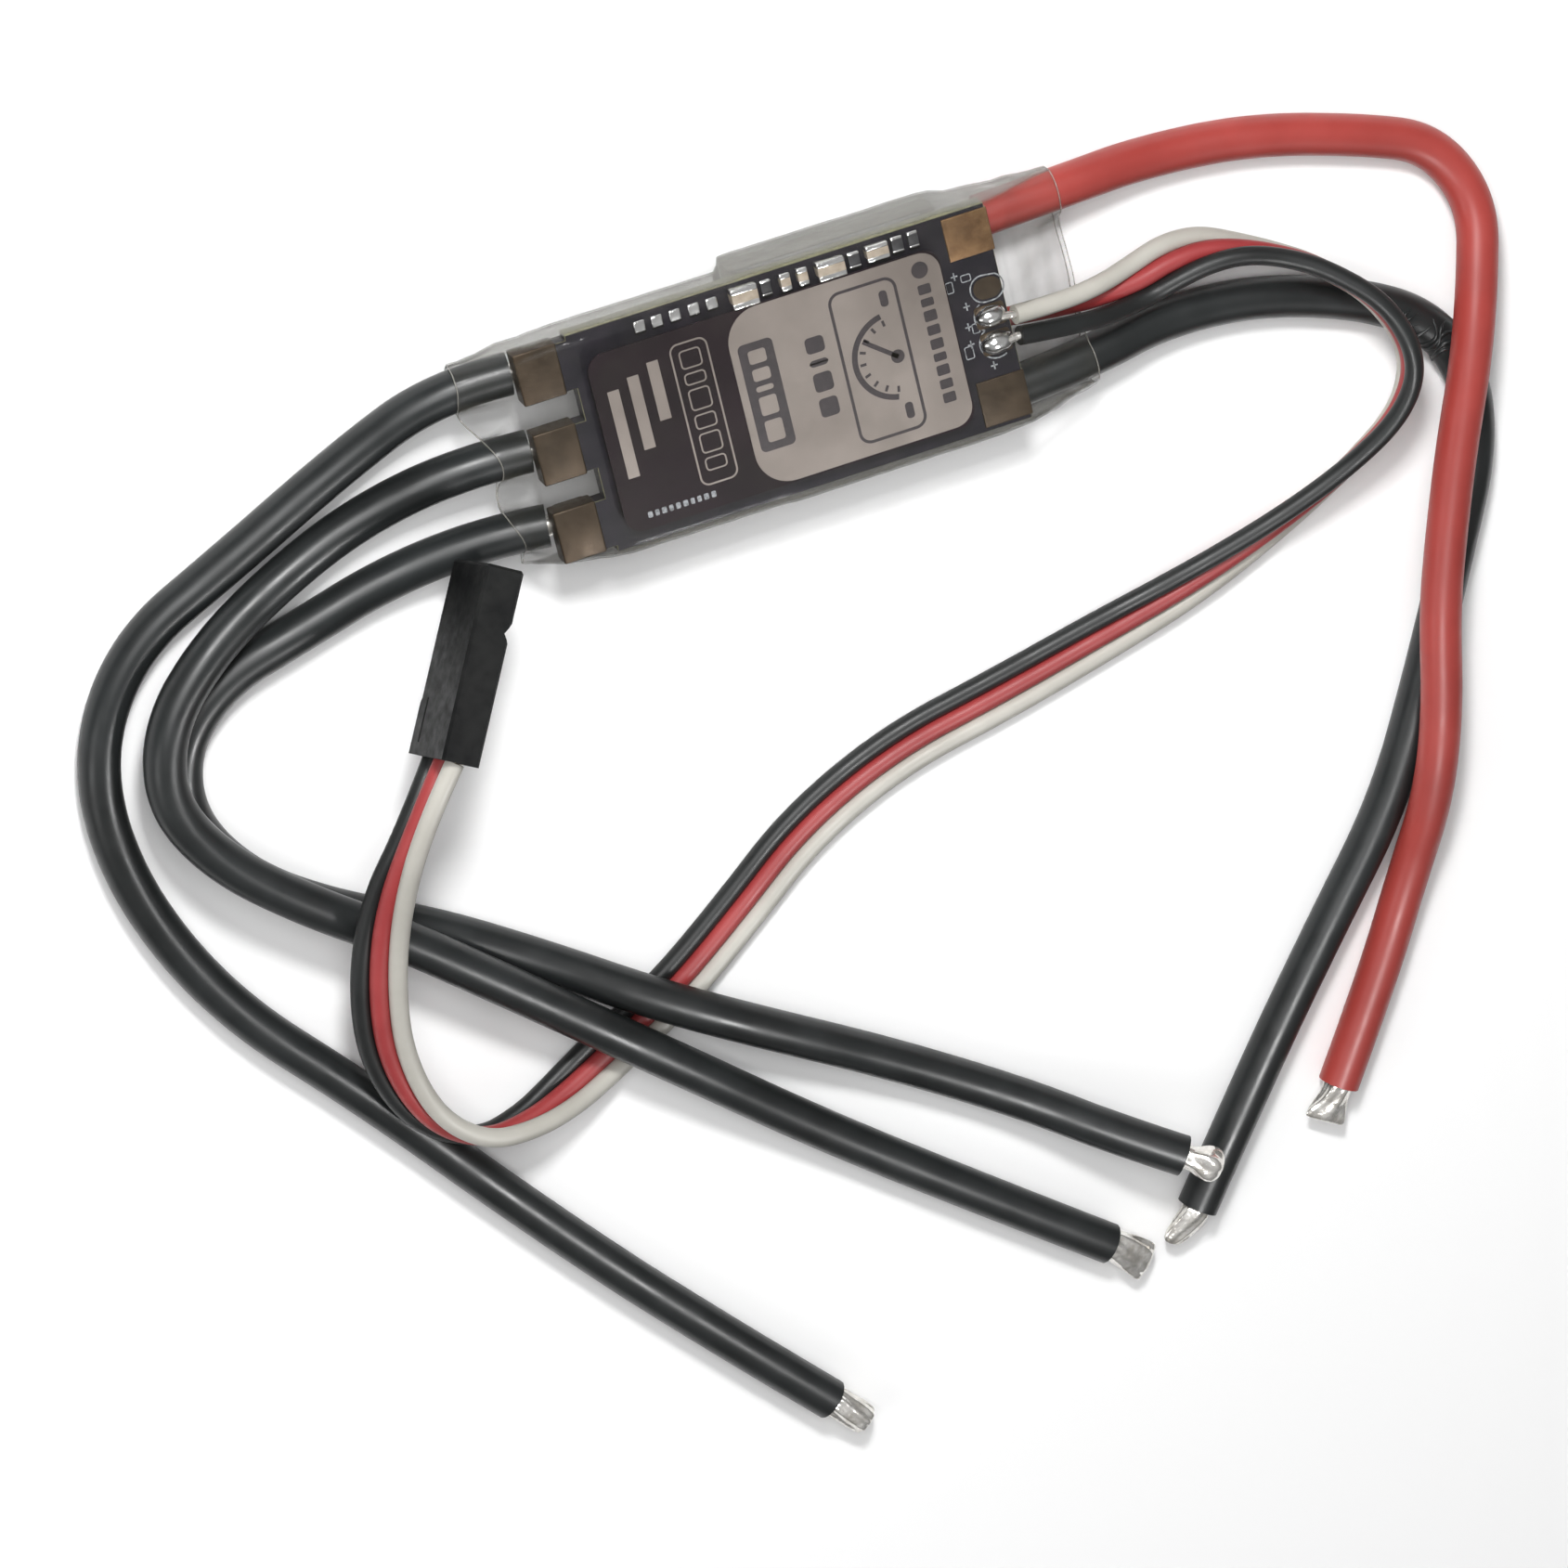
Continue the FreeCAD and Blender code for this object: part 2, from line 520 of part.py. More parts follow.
joints = []
for sign, route in (("positive", LEAD_POSITIVE), ("negative", LEAD_NEGATIVE)):
    lead = swept(route, LEAD_OD)
    strand = battery_strand(route[0][1], lead)
    save("battery_lead_" + sign, lead)
    save("battery_strand_" + sign, strand)
    joints.append(under_joint(13.35, 15.75, route[0][1] if sign == "positive" else -6.3, 2.5, strand))
save("battery_solder_joints", Part.makeCompound(joints))

save("phase_tip_a", round_tip(LEAD_A, TIP_R, TIP_L))
save("phase_tip_b", flat_tip(LEAD_B, 0.8, 1.7, 2.3, 0.8, 3.8))
save("phase_tip_c", blob_tip(LEAD_C, 0.8, 1.0, 1.1))
save("battery_tip_positive", flat_tip(LEAD_POSITIVE, 0.8, 1.6, 2.7, 0.9, 3.0))
save("battery_tip_negative", flat_tip(LEAD_NEGATIVE, 0.8, 1.9, 1.2, 0.9, 3.0))

cores = {}
for core, offset in zip(CORE_NAMES, CORE_OFFSETS):
    cores[core] = swept(core_route(core, offset), CORE_OD)
    save("signal_core_" + core, cores[core])
strands = signal_strands(cores)
save("signal_strands", Part.makeCompound(strands))
save("signal_solder_joints", Part.makeCompound([
    signal_joint(14.35, 0.07, BOARD_TOP + 0.08, True, strands[0]),
    signal_joint(14.4, -1.95, BOARD_TOP + 0.08, True, strands[1]),
    signal_joint(14.5, -1.3, BOARD_BOTTOM - 0.08, False, strands[2])]))
save("plug_housing", in_plug(plug_housing()))
save("plug_contacts", in_plug(plug_contacts()).cut(Part.makeCompound(list(cores.values()))))

# ---- overlap test ----
names = sorted(ALL)
for i, a in enumerate(names):
    for b in names[i + 1:]:
        if ALL[a].BoundBox.intersect(ALL[b].BoundBox):
            shared = ALL[a].common(ALL[b])
            if shared.Volume > 0.002:
                print("OVERLAP", a, b, round(shared.Volume, 4), shared.BoundBox.Center)
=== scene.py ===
"""Electronic speed controller on a pale floor: sleeved circuit board, power leads, signal cable and plug.

Lengths in the tables are millimetres in the row frame; MM turns them into metres.
"""
import json
import math
import random

import bmesh
import bpy
from mathutils import Matrix, Vector, noise


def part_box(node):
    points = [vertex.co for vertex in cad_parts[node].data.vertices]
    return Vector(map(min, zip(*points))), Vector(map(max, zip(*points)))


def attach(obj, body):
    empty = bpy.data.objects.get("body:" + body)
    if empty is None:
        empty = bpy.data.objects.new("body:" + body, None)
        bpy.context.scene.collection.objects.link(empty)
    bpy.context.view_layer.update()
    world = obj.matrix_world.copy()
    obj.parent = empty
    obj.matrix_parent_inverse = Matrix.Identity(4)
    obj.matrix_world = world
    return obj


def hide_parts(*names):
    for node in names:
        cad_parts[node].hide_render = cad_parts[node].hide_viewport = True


MM = 0.001
random.seed(7)
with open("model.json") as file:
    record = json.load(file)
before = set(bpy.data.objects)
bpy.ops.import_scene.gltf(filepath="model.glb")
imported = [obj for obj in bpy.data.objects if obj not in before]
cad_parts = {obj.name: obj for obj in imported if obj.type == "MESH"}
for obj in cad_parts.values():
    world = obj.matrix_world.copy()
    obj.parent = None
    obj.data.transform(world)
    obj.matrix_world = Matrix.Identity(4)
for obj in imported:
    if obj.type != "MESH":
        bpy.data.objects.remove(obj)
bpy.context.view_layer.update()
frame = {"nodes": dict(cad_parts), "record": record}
nodes = frame["nodes"]


# ---------------------------------------------------------------- small helpers
def corners(node):
    """A CAD node's box in millimetres."""
    low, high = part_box(node)
    return low / MM, high / MM


def piece(name, bm, material, replaced=(), smooth=40):
    """Link a bmesh made in millimetres, ride it on the body and hide the CAD parts it stands for."""
    bmesh.ops.recalc_face_normals(bm, faces=bm.faces)
    mesh = bpy.data.meshes.new(name)
    bm.to_mesh(mesh)
    bm.free()
    mesh.transform(Matrix.Scale(MM, 4))
    obj = bpy.data.objects.new(name, mesh)
    bpy.context.scene.collection.objects.link(obj)
    mesh.materials.append(material)
    if smooth:
        mesh.polygons.foreach_set("use_smooth", [True] * len(mesh.polygons))
        mesh.set_sharp_from_angle(angle=math.radians(smooth))
    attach(obj, "root")
    if replaced:
        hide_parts(*replaced)
    return obj


def add_block(bm, low, high, bevel=0.0, segments=2):
    """A box with rounded edges."""
    size = Vector(high) - Vector(low)
    centre = (Vector(high) + Vector(low)) / 2
    place = Matrix.Translation(centre) @ Matrix.Diagonal((*size, 1))
    made = bmesh.ops.create_cube(bm, size=1.0, matrix=place)
    if bevel:
        edges = list({e for v in made["verts"] for e in v.link_edges})
        bmesh.ops.bevel(bm, geom=edges, offset=bevel, segments=segments, affect="EDGES", profile=0.6)


def blocks(name, boxes, bevel, material, replaced=(), segments=2):
    """Several rounded boxes as one piece."""
    bm = bmesh.new()
    for low, high in boxes:
        add_block(bm, low, high, bevel, segments)
    return piece(name, bm, material, replaced)


def add_loft(bm, rings, caps=True):
    """Skin a list of closed rings of points."""
    loops = [[bm.verts.new(p) for p in ring] for ring in rings]
    count = len(loops[0])
    for a, b in zip(loops, loops[1:]):
        for i in range(count):
            j = (i + 1) % count
            bm.faces.new((a[i], a[j], b[j], b[i]))
    if caps:
        bm.faces.new(list(reversed(loops[0])))
        bm.faces.new(loops[-1])


def loft(name, rings, material, replaced=(), smooth=40, subdivide=0):
    """A closed loft as one piece, rounded further by a subdivision if asked."""
    bm = bmesh.new()
    add_loft(bm, rings)
    obj = piece(name, bm, material, replaced, smooth)
    if subdivide:
        subsurf = obj.modifiers.new("round", "SUBSURF")
        subsurf.levels = subdivide
        subsurf.render_levels = subdivide
    return obj


def add_prism(bm, outline, bottom, top):
    """A flat plate with any outline."""
    low = [bm.verts.new((x, y, bottom)) for x, y in outline]
    high = [bm.verts.new((x, y, top)) for x, y in outline]
    count = len(outline)
    for i in range(count):
        j = (i + 1) % count
        bm.faces.new((low[i], low[j], high[j], high[i]))
    bm.faces.new(list(reversed(low)))
    bm.faces.new(high)


def rounded_outline(x0, x1, y0, y1, r, steps=6):
    """A rectangle's outline with round corners."""
    points = []
    centres = ((x1 - r, y1 - r), (x0 + r, y1 - r), (x0 + r, y0 + r), (x1 - r, y0 + r))
    for quarter, (cx, cy) in enumerate(centres):
        for i in range(steps + 1):
            t = math.radians(90 * quarter + 90 * i / steps)
            points.append((cx + r * math.cos(t), cy + r * math.sin(t)))
    return points


def arc_points(cx, cy, r, start, end, steps=12):
    return [(cx + r * math.cos(math.radians(start + (end - start) * i / steps)),
             cy + r * math.sin(math.radians(start + (end - start) * i / steps))) for i in range(steps + 1)]


def add_stroke(bm, points, width, bottom, top, closed=False):
    """A flat line of even width along a path."""
    pts = [Vector((*p, 0)) for p in points]
    count = len(pts)
    left, right = [], []
    for i, p in enumerate(pts):
        before = pts[i - 1] if (i or closed) else p
        after = pts[(i + 1) % count] if (i < count - 1 or closed) else p
        u = (p - before).normalized() if (p - before).length else (after - p).normalized()
        v = (after - p).normalized() if (after - p).length else u
        along = (u + v).normalized()
        side = Vector((-along.y, along.x, 0))
        reach = width / 2 / max(abs(side.dot(Vector((-u.y, u.x, 0)))), 0.4)
        left.append(p + side * reach)
        right.append(p - side * reach)
    spans = range(count if closed else count - 1)
    rows = [[bm.verts.new((q.x, q.y, z)) for q in line] for z in (bottom, top) for line in (left, right)]
    ll, lr, hl, hr = rows
    for i in spans:
        j = (i + 1) % count
        for a, b in ((ll, lr), (hr, hl), (hl, ll), (lr, hr)):
            bm.faces.new((a[i], a[j], b[j], b[i]))
    if not closed:
        bm.faces.new((ll[0], lr[0], hr[0], hl[0]))
        bm.faces.new((ll[-1], hl[-1], hr[-1], lr[-1]))


# ---------------------------------------------------------------- materials
MAT = {}


def material(name, color, roughness, metallic=0.0, **sockets):
    """A new material, kept in MAT under its name."""
    mat = bpy.data.materials.new(name)
    mat.use_nodes = True
    shader = mat.node_tree.nodes["Principled BSDF"]
    shader.inputs["Base Color"].default_value = (*color, 1)
    shader.inputs["Roughness"].default_value = roughness
    shader.inputs["Metallic"].default_value = metallic
    for key, value in sockets.items():
        shader.inputs[key.replace("_", " ")].default_value = value
    MAT[name] = mat
    return mat


def texture(mat, scale, **settings):
    """Procedural noise in object space; scale counts features per millimetre."""
    tree = mat.node_tree
    coord = tree.nodes.new("ShaderNodeTexCoord")
    tex = tree.nodes.new("ShaderNodeTexNoise")
    tex.inputs["Scale"].default_value = scale / MM
    for key, value in settings.items():
        tex.inputs[key].default_value = value
    tree.links.new(coord.outputs["Object"], tex.inputs["Vector"])
    return tex.outputs["Fac"]


def ramp(mat, source, stops):
    """A colour ramp on a socket; stops are places with colours."""
    node = mat.node_tree.nodes.new("ShaderNodeValToRGB")
    elements = node.color_ramp.elements
    while len(elements) < len(stops):
        elements.new(0.5)
    for element, (place, color) in zip(elements, stops):
        element.position = place
        element.color = (*color, 1)
    mat.node_tree.links.new(source, node.inputs["Fac"])
    return node.outputs["Color"]


def socket_of(mat, name):
    return mat.node_tree.nodes["Principled BSDF"].inputs[name]


def mottle(mat, scale, stops, **settings):
    """Base colour that varies through a texture."""
    source = texture(mat, scale, **settings)
    mat.node_tree.links.new(ramp(mat, source, stops), socket_of(mat, "Base Color"))


def gloss(mat, scale, low, high, detail=4.0):
    """Roughness that varies between two values."""
    source = texture(mat, scale, Detail=detail)
    levels = ramp(mat, source, [(0.3, (low,) * 3), (0.7, (high,) * 3)])
    mat.node_tree.links.new(levels, socket_of(mat, "Roughness"))


def bumps(mat, scale, height, **settings):
    """Fine relief; height in millimetres. Calls add up."""
    tree = mat.node_tree
    source = texture(mat, scale, **settings)
    bump = tree.nodes.new("ShaderNodeBump")
    bump.inputs["Strength"].default_value = 1.0
    bump.inputs["Distance"].default_value = height * MM
    normal = socket_of(mat, "Normal")
    if normal.links:
        tree.links.new(normal.links[0].from_socket, bump.inputs["Normal"])
    tree.links.new(source, bump.inputs["Height"])
    tree.links.new(bump.outputs["Normal"], normal)


def silicone(name, dark, light, roughness):
    mat = material(name, light, roughness, Specular_IOR_Level=0.42)
    mottle(mat, 0.16, [(0.3, dark), (0.7, light)], Detail=4.0)
    gloss(mat, 0.4, roughness, roughness + 0.12, detail=2.0)


def cord_materials():
    """Insulation of the leads and cores, and their bared ends."""
    silicone("silicone_black", (0.009, 0.01, 0.01), (0.018, 0.0205, 0.021), 0.3)
    silicone("silicone_red", (0.29, 0.036, 0.029), (0.37, 0.051, 0.042), 0.36)
    silicone("core_black", (0.008, 0.0085, 0.0085), (0.014, 0.016, 0.016), 0.38)
    silicone("core_red", (0.28, 0.03, 0.032), (0.37, 0.05, 0.05), 0.42)
    silicone("core_white", (0.4, 0.385, 0.345), (0.5, 0.485, 0.44), 0.42)

    tinned = material("tinned_strand", (0.8, 0.79, 0.77), 0.24, 0.82)
    gloss(tinned, 1.2, 0.13, 0.26)
    mottle(tinned, 1.0, [(0.35, (0.62, 0.59, 0.54)), (0.6, (0.9, 0.88, 0.84))], Detail=5.0)
    bumps(tinned, 1.1, 0.09, Detail=2.0)


def joint_materials():
    """Solder, the plated pads, and a lighter copy of the plating with painted light for the positive pad.
    """
    solder = material("solder", (0.86, 0.86, 0.85), 0.14, 1.0)
    gloss(solder, 1.4, 0.08, 0.24)
    bumps(solder, 1.8, 0.03, Detail=3.0)

    plating = material("plating", (0.05, 0.034, 0.022), 0.4, 0.55, Specular_IOR_Level=0.25)
    mottle(plating, 0.5, [(0.3, (0.036, 0.025, 0.016)), (0.72, (0.072, 0.051, 0.033))],
           Detail=8.0, Roughness=0.65)
    gloss(plating, 1.5, 0.3, 0.48)
    bumps(plating, 9.0, 0.008, Detail=5.0)

    # The positive pad's plating: the same plating as the other pads, made lighter in colour as painted
    # light.
    painted_light_plating = material("plating_painted_light", (0.18, 0.1, 0.048), 0.36, 0.6, Specular_IOR_Level=0.25)
    mottle(painted_light_plating, 0.6, [(0.3, (0.12, 0.066, 0.032)), (0.72, (0.27, 0.16, 0.078))],
           Detail=8.0, Roughness=0.65)
    bumps(painted_light_plating, 9.0, 0.008, Detail=5.0)


def board_materials():
    """The board and the parts on it."""
    mask = material("solder_mask", (0.012, 0.011, 0.016), 0.34, Specular_IOR_Level=0.2)
    mottle(mask, 0.5, [(0.35, (0.008, 0.0075, 0.012)), (0.7, (0.018, 0.015, 0.022))], Detail=6.0)
    bumps(mask, 5.0, 0.006, Detail=4.0)

    laminate = material("laminate", (0.24, 0.23, 0.11), 0.6)
    mottle(laminate, 3.0, [(0.3, (0.13, 0.125, 0.06)), (0.7, (0.3, 0.29, 0.15))], Detail=5.0)
    bumps(laminate, 7.0, 0.02, Detail=4.0)

    chip = material("chip_body", (0.02, 0.02, 0.023), 0.5)
    mottle(chip, 2.0, [(0.3, (0.014, 0.014, 0.017)), (0.7, (0.03, 0.03, 0.034))], Detail=6.0)
    bumps(chip, 14.0, 0.008, Detail=2.0)

    ceramic = material("ceramic_body", (0.4, 0.33, 0.25), 0.4)
    mottle(ceramic, 1.5, [(0.3, (0.3, 0.25, 0.19)), (0.7, (0.46, 0.39, 0.31))], Detail=6.0)
    bumps(ceramic, 8.0, 0.006, Detail=3.0)

    ferrite = material("ferrite_body", (0.1, 0.1, 0.11), 0.6)
    mottle(ferrite, 3.0, [(0.3, (0.07, 0.07, 0.075)), (0.7, (0.14, 0.14, 0.15))], Detail=6.0)

    shunt = material("shunt_metal", (0.3, 0.29, 0.28), 0.4, 0.8)
    mottle(shunt, 2.0, [(0.3, (0.2, 0.19, 0.18)), (0.7, (0.36, 0.35, 0.34))], Detail=6.0)


def cooling_materials():
    """Heat spreader and thermal pad."""
    spreader = material("spreader_metal", (0.3, 0.29, 0.26), 0.42, 0.8)
    mottle(spreader, 0.7, [(0.3, (0.22, 0.21, 0.19)), (0.7, (0.36, 0.35, 0.32))], Detail=7.0)
    bumps(spreader, 5.0, 0.01, Detail=4.0)

    thermal = material("thermal_rubber", (0.24, 0.25, 0.26), 0.75)
    mottle(thermal, 3.0, [(0.3, (0.19, 0.2, 0.21)), (0.7, (0.28, 0.29, 0.3))], Detail=5.0)


def label_materials():
    """The label, its panel and its print."""
    label = material("label_dark", (0.02, 0.012, 0.017), 0.34, Specular_IOR_Level=0.16)
    mottle(label, 0.09, [(0.3, (0.007, 0.0038, 0.0055)), (0.75, (0.021, 0.0095, 0.016))], Detail=3.0)
    bumps(label, 8.0, 0.004, Detail=3.0)

    silver = material("label_silver", (0.3, 0.26, 0.235), 0.36, 0.35)
    mottle(silver, 0.12, [(0.3, (0.19, 0.162, 0.143)), (0.72, (0.3, 0.262, 0.235))], Detail=4.0)
    bumps(silver, 16.0, 0.004, Detail=2.0)

    ink = material("label_ink", (0.022, 0.016, 0.019), 0.4)
    mottle(ink, 2.0, [(0.3, (0.017, 0.012, 0.015)), (0.7, (0.03, 0.021, 0.025))], Detail=4.0)

    silk = material("silkscreen", (0.36, 0.38, 0.4), 0.5)
    mottle(silk, 4.0, [(0.35, (0.14, 0.15, 0.16)), (0.7, (0.42, 0.44, 0.46))], Detail=5.0)


def film_materials():
    """Clear film, hazy and more opaque edge-on, and its cut edge."""
    film = material("clear_film", (0.12, 0.114, 0.094), 0.12, Alpha=0.1, Specular_IOR_Level=0.55)
    tree = film.node_tree
    cloud = texture(film, 0.3, Detail=5.0, Roughness=0.6)
    haze = ramp(film, cloud, [(0.45, (0.0,) * 3), (0.8, (0.05,) * 3)])
    facing = tree.nodes.new("ShaderNodeLayerWeight")
    facing.inputs["Blend"].default_value = 0.5
    rim = ramp(film, facing.outputs["Facing"],
               [(0.25, (0.03,) * 3), (0.48, (0.16,) * 3), (0.62, (0.42,) * 3), (0.9, (0.8,) * 3)])
    add = tree.nodes.new("ShaderNodeMath")
    add.operation = "ADD"
    tree.links.new(haze, add.inputs[0])
    tree.links.new(rim, add.inputs[1])
    tree.links.new(add.outputs[0], socket_of(film, "Alpha"))
    bumps(film, 0.45, 0.06, Detail=3.0)
    bumps(film, 3.0, 0.006, Detail=3.0)

    edge = material("film_edge", (0.4, 0.38, 0.34), 0.2, Alpha=0.4, Specular_IOR_Level=0.8)
    mottle(edge, 0.8, [(0.3, (0.25, 0.24, 0.21)), (0.7, (0.5, 0.48, 0.43))], Detail=4.0)


def plug_materials():
    """Plug housing and contacts."""
    plug = material("plug_plastic", (0.008, 0.0085, 0.009), 0.5, Specular_IOR_Level=0.16)
    mottle(plug, 0.3, [(0.35, (0.003, 0.0033, 0.0036)), (0.7, (0.012, 0.0125, 0.012))], Detail=6.0)
    gloss(plug, 1.2, 0.4, 0.6)
    bumps(plug, 10.0, 0.01, Detail=3.0)

    contact = material("contact_metal", (0.75, 0.56, 0.26), 0.3, 1.0)
    gloss(contact, 2.0, 0.22, 0.42)


cord_materials()
joint_materials()
board_materials()
cooling_materials()
label_materials()
film_materials()
plug_materials()

# ---------------------------------------------------------------- cords
LEAD_OD = 3.1
LEAD_A = [(-19.7, 6.0, 3.8), (-25.0, 6.2, 3.3), (-32.2, 2.9, 1.7), (-42.0, -1.7, 1.55),
          (-50.4, -5.4, 1.55), (-55.1, -12.8, 1.55), (-55.0, -22.5, 1.55), (-50.6, -33.4, 1.55),
          (-42.4, -43.4, 1.55), (-33.4, -55.8, 1.55), (-24.4, -67.4, 1.55), (-14.9, -78.5, 1.55)]
LEAD_B = [(-19.7, 0.1, 3.8), (-25.0, 0.3, 3.3), (-32.6, -1.4, 2.0), (-39.4, -4.0, 2.4),
          (-45.2, -6.6, 4.0), (-49.8, -10.6, 4.95), (-51.2, -16.2, 4.95), (-48.6, -21.6, 4.95),
          (-43.8, -26.4, 4.95), (-37.6, -31.4, 4.9), (-31.5, -37.1, 4.75), (-26.0, -42.5, 3.8),
          (-19.6, -48.6, 3.4), (-10.6, -57.6, 1.6), (-0.6, -66.3, 1.55), (8.4, -73.9, 1.55)]
LEAD_C = [(-19.7, -5.6, 3.8), (-24.2, -5.4, 2.8), (-31.5, -6.4, 1.6), (-38.6, -8.3, 1.55),
          (-44.6, -9.8, 1.55), (-48.8, -13.6, 1.55), (-49.7, -19.2, 1.55), (-46.7, -24.7, 1.55),
          (-41.4, -29.0, 1.55), (-34.4, -32.9, 1.55), (-27.4, -37.9, 1.7), (-20.4, -42.9, 3.25),
          (-13.6, -47.5, 3.2), (-4.8, -53.6, 1.7), (4.4, -60.2, 1.7), (10.0, -64.4, 3.6),
          (14.6, -67.5, 4.9)]
LEAD_POSITIVE = [(15.9, 6.35, 3.3), (22.4, 6.5, 3.1), (29.0, 6.3, 1.7), (37.2, 5.4, 1.55),
                 (45.3, 2.85, 1.55), (50.4, 0.6, 1.6), (52.6, -4.5, 2.4), (50.7, -9.8, 4.2),
                 (48.8, -15.0, 5.0), (46.4, -21.0, 5.0), (44.4, -26.8, 5.0), (42.6, -32.6, 5.0),
                 (41.2, -40.4, 4.95), (39.4, -47.0, 4.0), (36.9, -53.2, 1.8), (33.0, -60.4, 1.55),
                 (28.3, -67.6, 1.55)]
LEAD_NEGATIVE = [(15.9, -6.7, 3.3), (21.6, -6.4, 3.1), (27.8, -5.7, 1.7), (35.0, -6.3, 1.55),
                 (42.2, -8.8, 1.55), (47.2, -12.0, 1.55), (49.6, -17.0, 1.55), (48.9, -23.0, 1.55),
                 (45.8, -29.6, 1.55), (41.6, -38.2, 1.55), (36.8, -47.2, 1.55), (29.8, -55.4, 1.55),
                 (22.6, -64.2, 1.55), (15.6, -73.4, 1.55)]

CORE_OD = 1.4
# x, y, z of the ribbon's axis and its roll in degrees: 180 lies flat, 90 stands on edge
RIBBON = [(26.2, -1.9, 3.6, 180), (28.8, -1.2, 3.6, 155), (31.4, -1.1, 3.5, 125),
          (34.0, -1.8, 3.5, 97), (36.6, -3.0, 3.7, 87), (39.4, -4.7, 4.3, 85),
          (43.0, -8.2, 5.5, 87), (44.6, -13.0, 5.6, 97), (43.0, -17.2, 4.6, 107),
          (38.6, -20.6, 3.1, 114), (32.8, -23.4, 2.3, 130), (25.8, -26.0, 1.5, 155),
          (18.4, -27.9, 0.9, 172), (10.0, -29.8, 0.75, 180), (1.6, -31.3, 0.75, 180),
          (-6.4, -34.7, 0.75, 180), (-12.6, -39.4, 0.75, 180), (-18.6, -43.6, 0.75, 181),
          (-24.6, -46.6, 1.0, 196), (-28.4, -48.0, 2.1, 230), (-31.9, -48.7, 3.3, 262),
          (-35.6, -48.5, 4.3, 286), (-39.2, -45.4, 5.0, 306), (-41.0, -39.6, 6.1, 330),
          (-40.6, -33.2, 7.8, 338), (-38.8, -27.0, 9.4, 312)]
CORE_STARTS = {"black": [(16.0, -1.9, 6.75), (19.6, -2.6, 6.0), (23.0, -3.2, 4.9)],
               "red": [(16.0, -1.3, 3.7), (19.6, -1.8, 3.7), (23.0, -2.1, 3.6)],
               "white": [(16.0, -0.3, 6.75), (19.6, -0.7, 6.0), (23.0, -0.8, 4.9)]}
CORE_SIDE = {"black": 1, "red": 0, "white": -1}
PLUG_PITCH = 2.54
PLUG_WIRE_END = Vector((-32.45, -17.05, 11.45))
PLUG_AZIMUTH = math.radians(58.0)
PLUG_DIP = math.radians(-14.0)
PLUG_AXIS = Vector((math.cos(PLUG_DIP) * math.cos(PLUG_AZIMUTH),
                    math.cos(PLUG_DIP) * math.sin(PLUG_AZIMUTH), math.sin(PLUG_DIP)))
PLUG_UP = Vector((-math.sin(PLUG_DIP) * math.cos(PLUG_AZIMUTH),
                  -math.sin(PLUG_DIP) * math.sin(PLUG_AZIMUTH), math.cos(PLUG_DIP)))
PLUG_SIDE = PLUG_UP.cross(PLUG_AXIS)


def cord_curve(name, route, diameter, mat_name, node):
    """One smooth NURBS line with the route's points as its control points."""
    data = bpy.data.curves.new(name, "CURVE")
    data.dimensions = "3D"
    spline = data.splines.new("NURBS")
    spline.points.add(len(route) - 1)
    for point, place in zip(spline.points, route):
        point.co = (*(Vector(place) * MM), 1)
    spline.order_u = 3
    spline.use_endpoint_u = True
    data.resolution_u = 14
    data.bevel_depth = diameter / 2 * MM
    data.bevel_resolution = 7
    data.use_fill_caps = True
    data.materials.append(MAT[mat_name])
    obj = bpy.data.objects.new(name, data)
    bpy.context.scene.collection.objects.link(obj)
    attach(obj, "root")
    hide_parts(node)
    return obj


def ribbon_core(side):
    """Points of one bonded core, set off from the ribbon's axis across its roll."""
    axis = [Vector(p[:3]) for p in RIBBON]
    out = []
    for i, p in enumerate(axis):
        steps = []
        if i > 0:
            steps.append((axis[i] - axis[i - 1]).to_2d().normalized())
        if i < len(axis) - 1:
            steps.append((axis[i + 1] - axis[i]).to_2d().normalized())
        along = sum(steps, Vector((0, 0))).normalized()
        stretch = 1 / max(along.dot(steps[0]), 0.5)
        across = Vector((-along.y, along.x, 0)) * stretch
        roll = math.radians(RIBBON[i][3])
        out.append(p + (across * math.cos(roll) + Vector((0, 0, math.sin(roll)))) * (side * CORE_OD))
    return out


def core_route(color):
    side = CORE_SIDE[color]
    route = [Vector(p) for p in CORE_STARTS[color]] + ribbon_core(side)
    lead_in = PLUG_WIRE_END - PLUG_AXIS * 5.0 + PLUG_SIDE * 0.9
    route.append(lead_in - PLUG_UP * (side * 1.9))
    route.append(PLUG_WIRE_END - PLUG_UP * (side * PLUG_PITCH))
    return route


# ---------------------------------------------------------------- tinned tips
def tip(name, route, sections, lobes, node):
    """Bundle of tinned strands. Sections: distance, half width, half height, sideways and upward shift."""
    end = Vector(route[-1])
    along = (end - Vector(route[-2])).normalized()
    across = along.cross(Vector((0, 0, 1))).normalized()
    up = across.cross(along).normalized()
    rings = []
    steps = 36
    for reach, wide, high, shift, lift in sections:
        ring = []
        for i in range(steps):
            t = 2 * math.pi * i / steps
            grain = 1 + 0.1 * math.cos(lobes * t + reach * 1.3)
            grain += 0.05 * noise.noise(Vector((reach, t * 2, lobes)))
            place = across * (shift + wide * grain * math.cos(t)) + up * (lift + high * grain * math.sin(t))
            ring.append(end + along * reach + place)
        rings.append(ring)
    return loft(name, rings, MAT["tinned_strand"], (node,), smooth=50, subdivide=1)


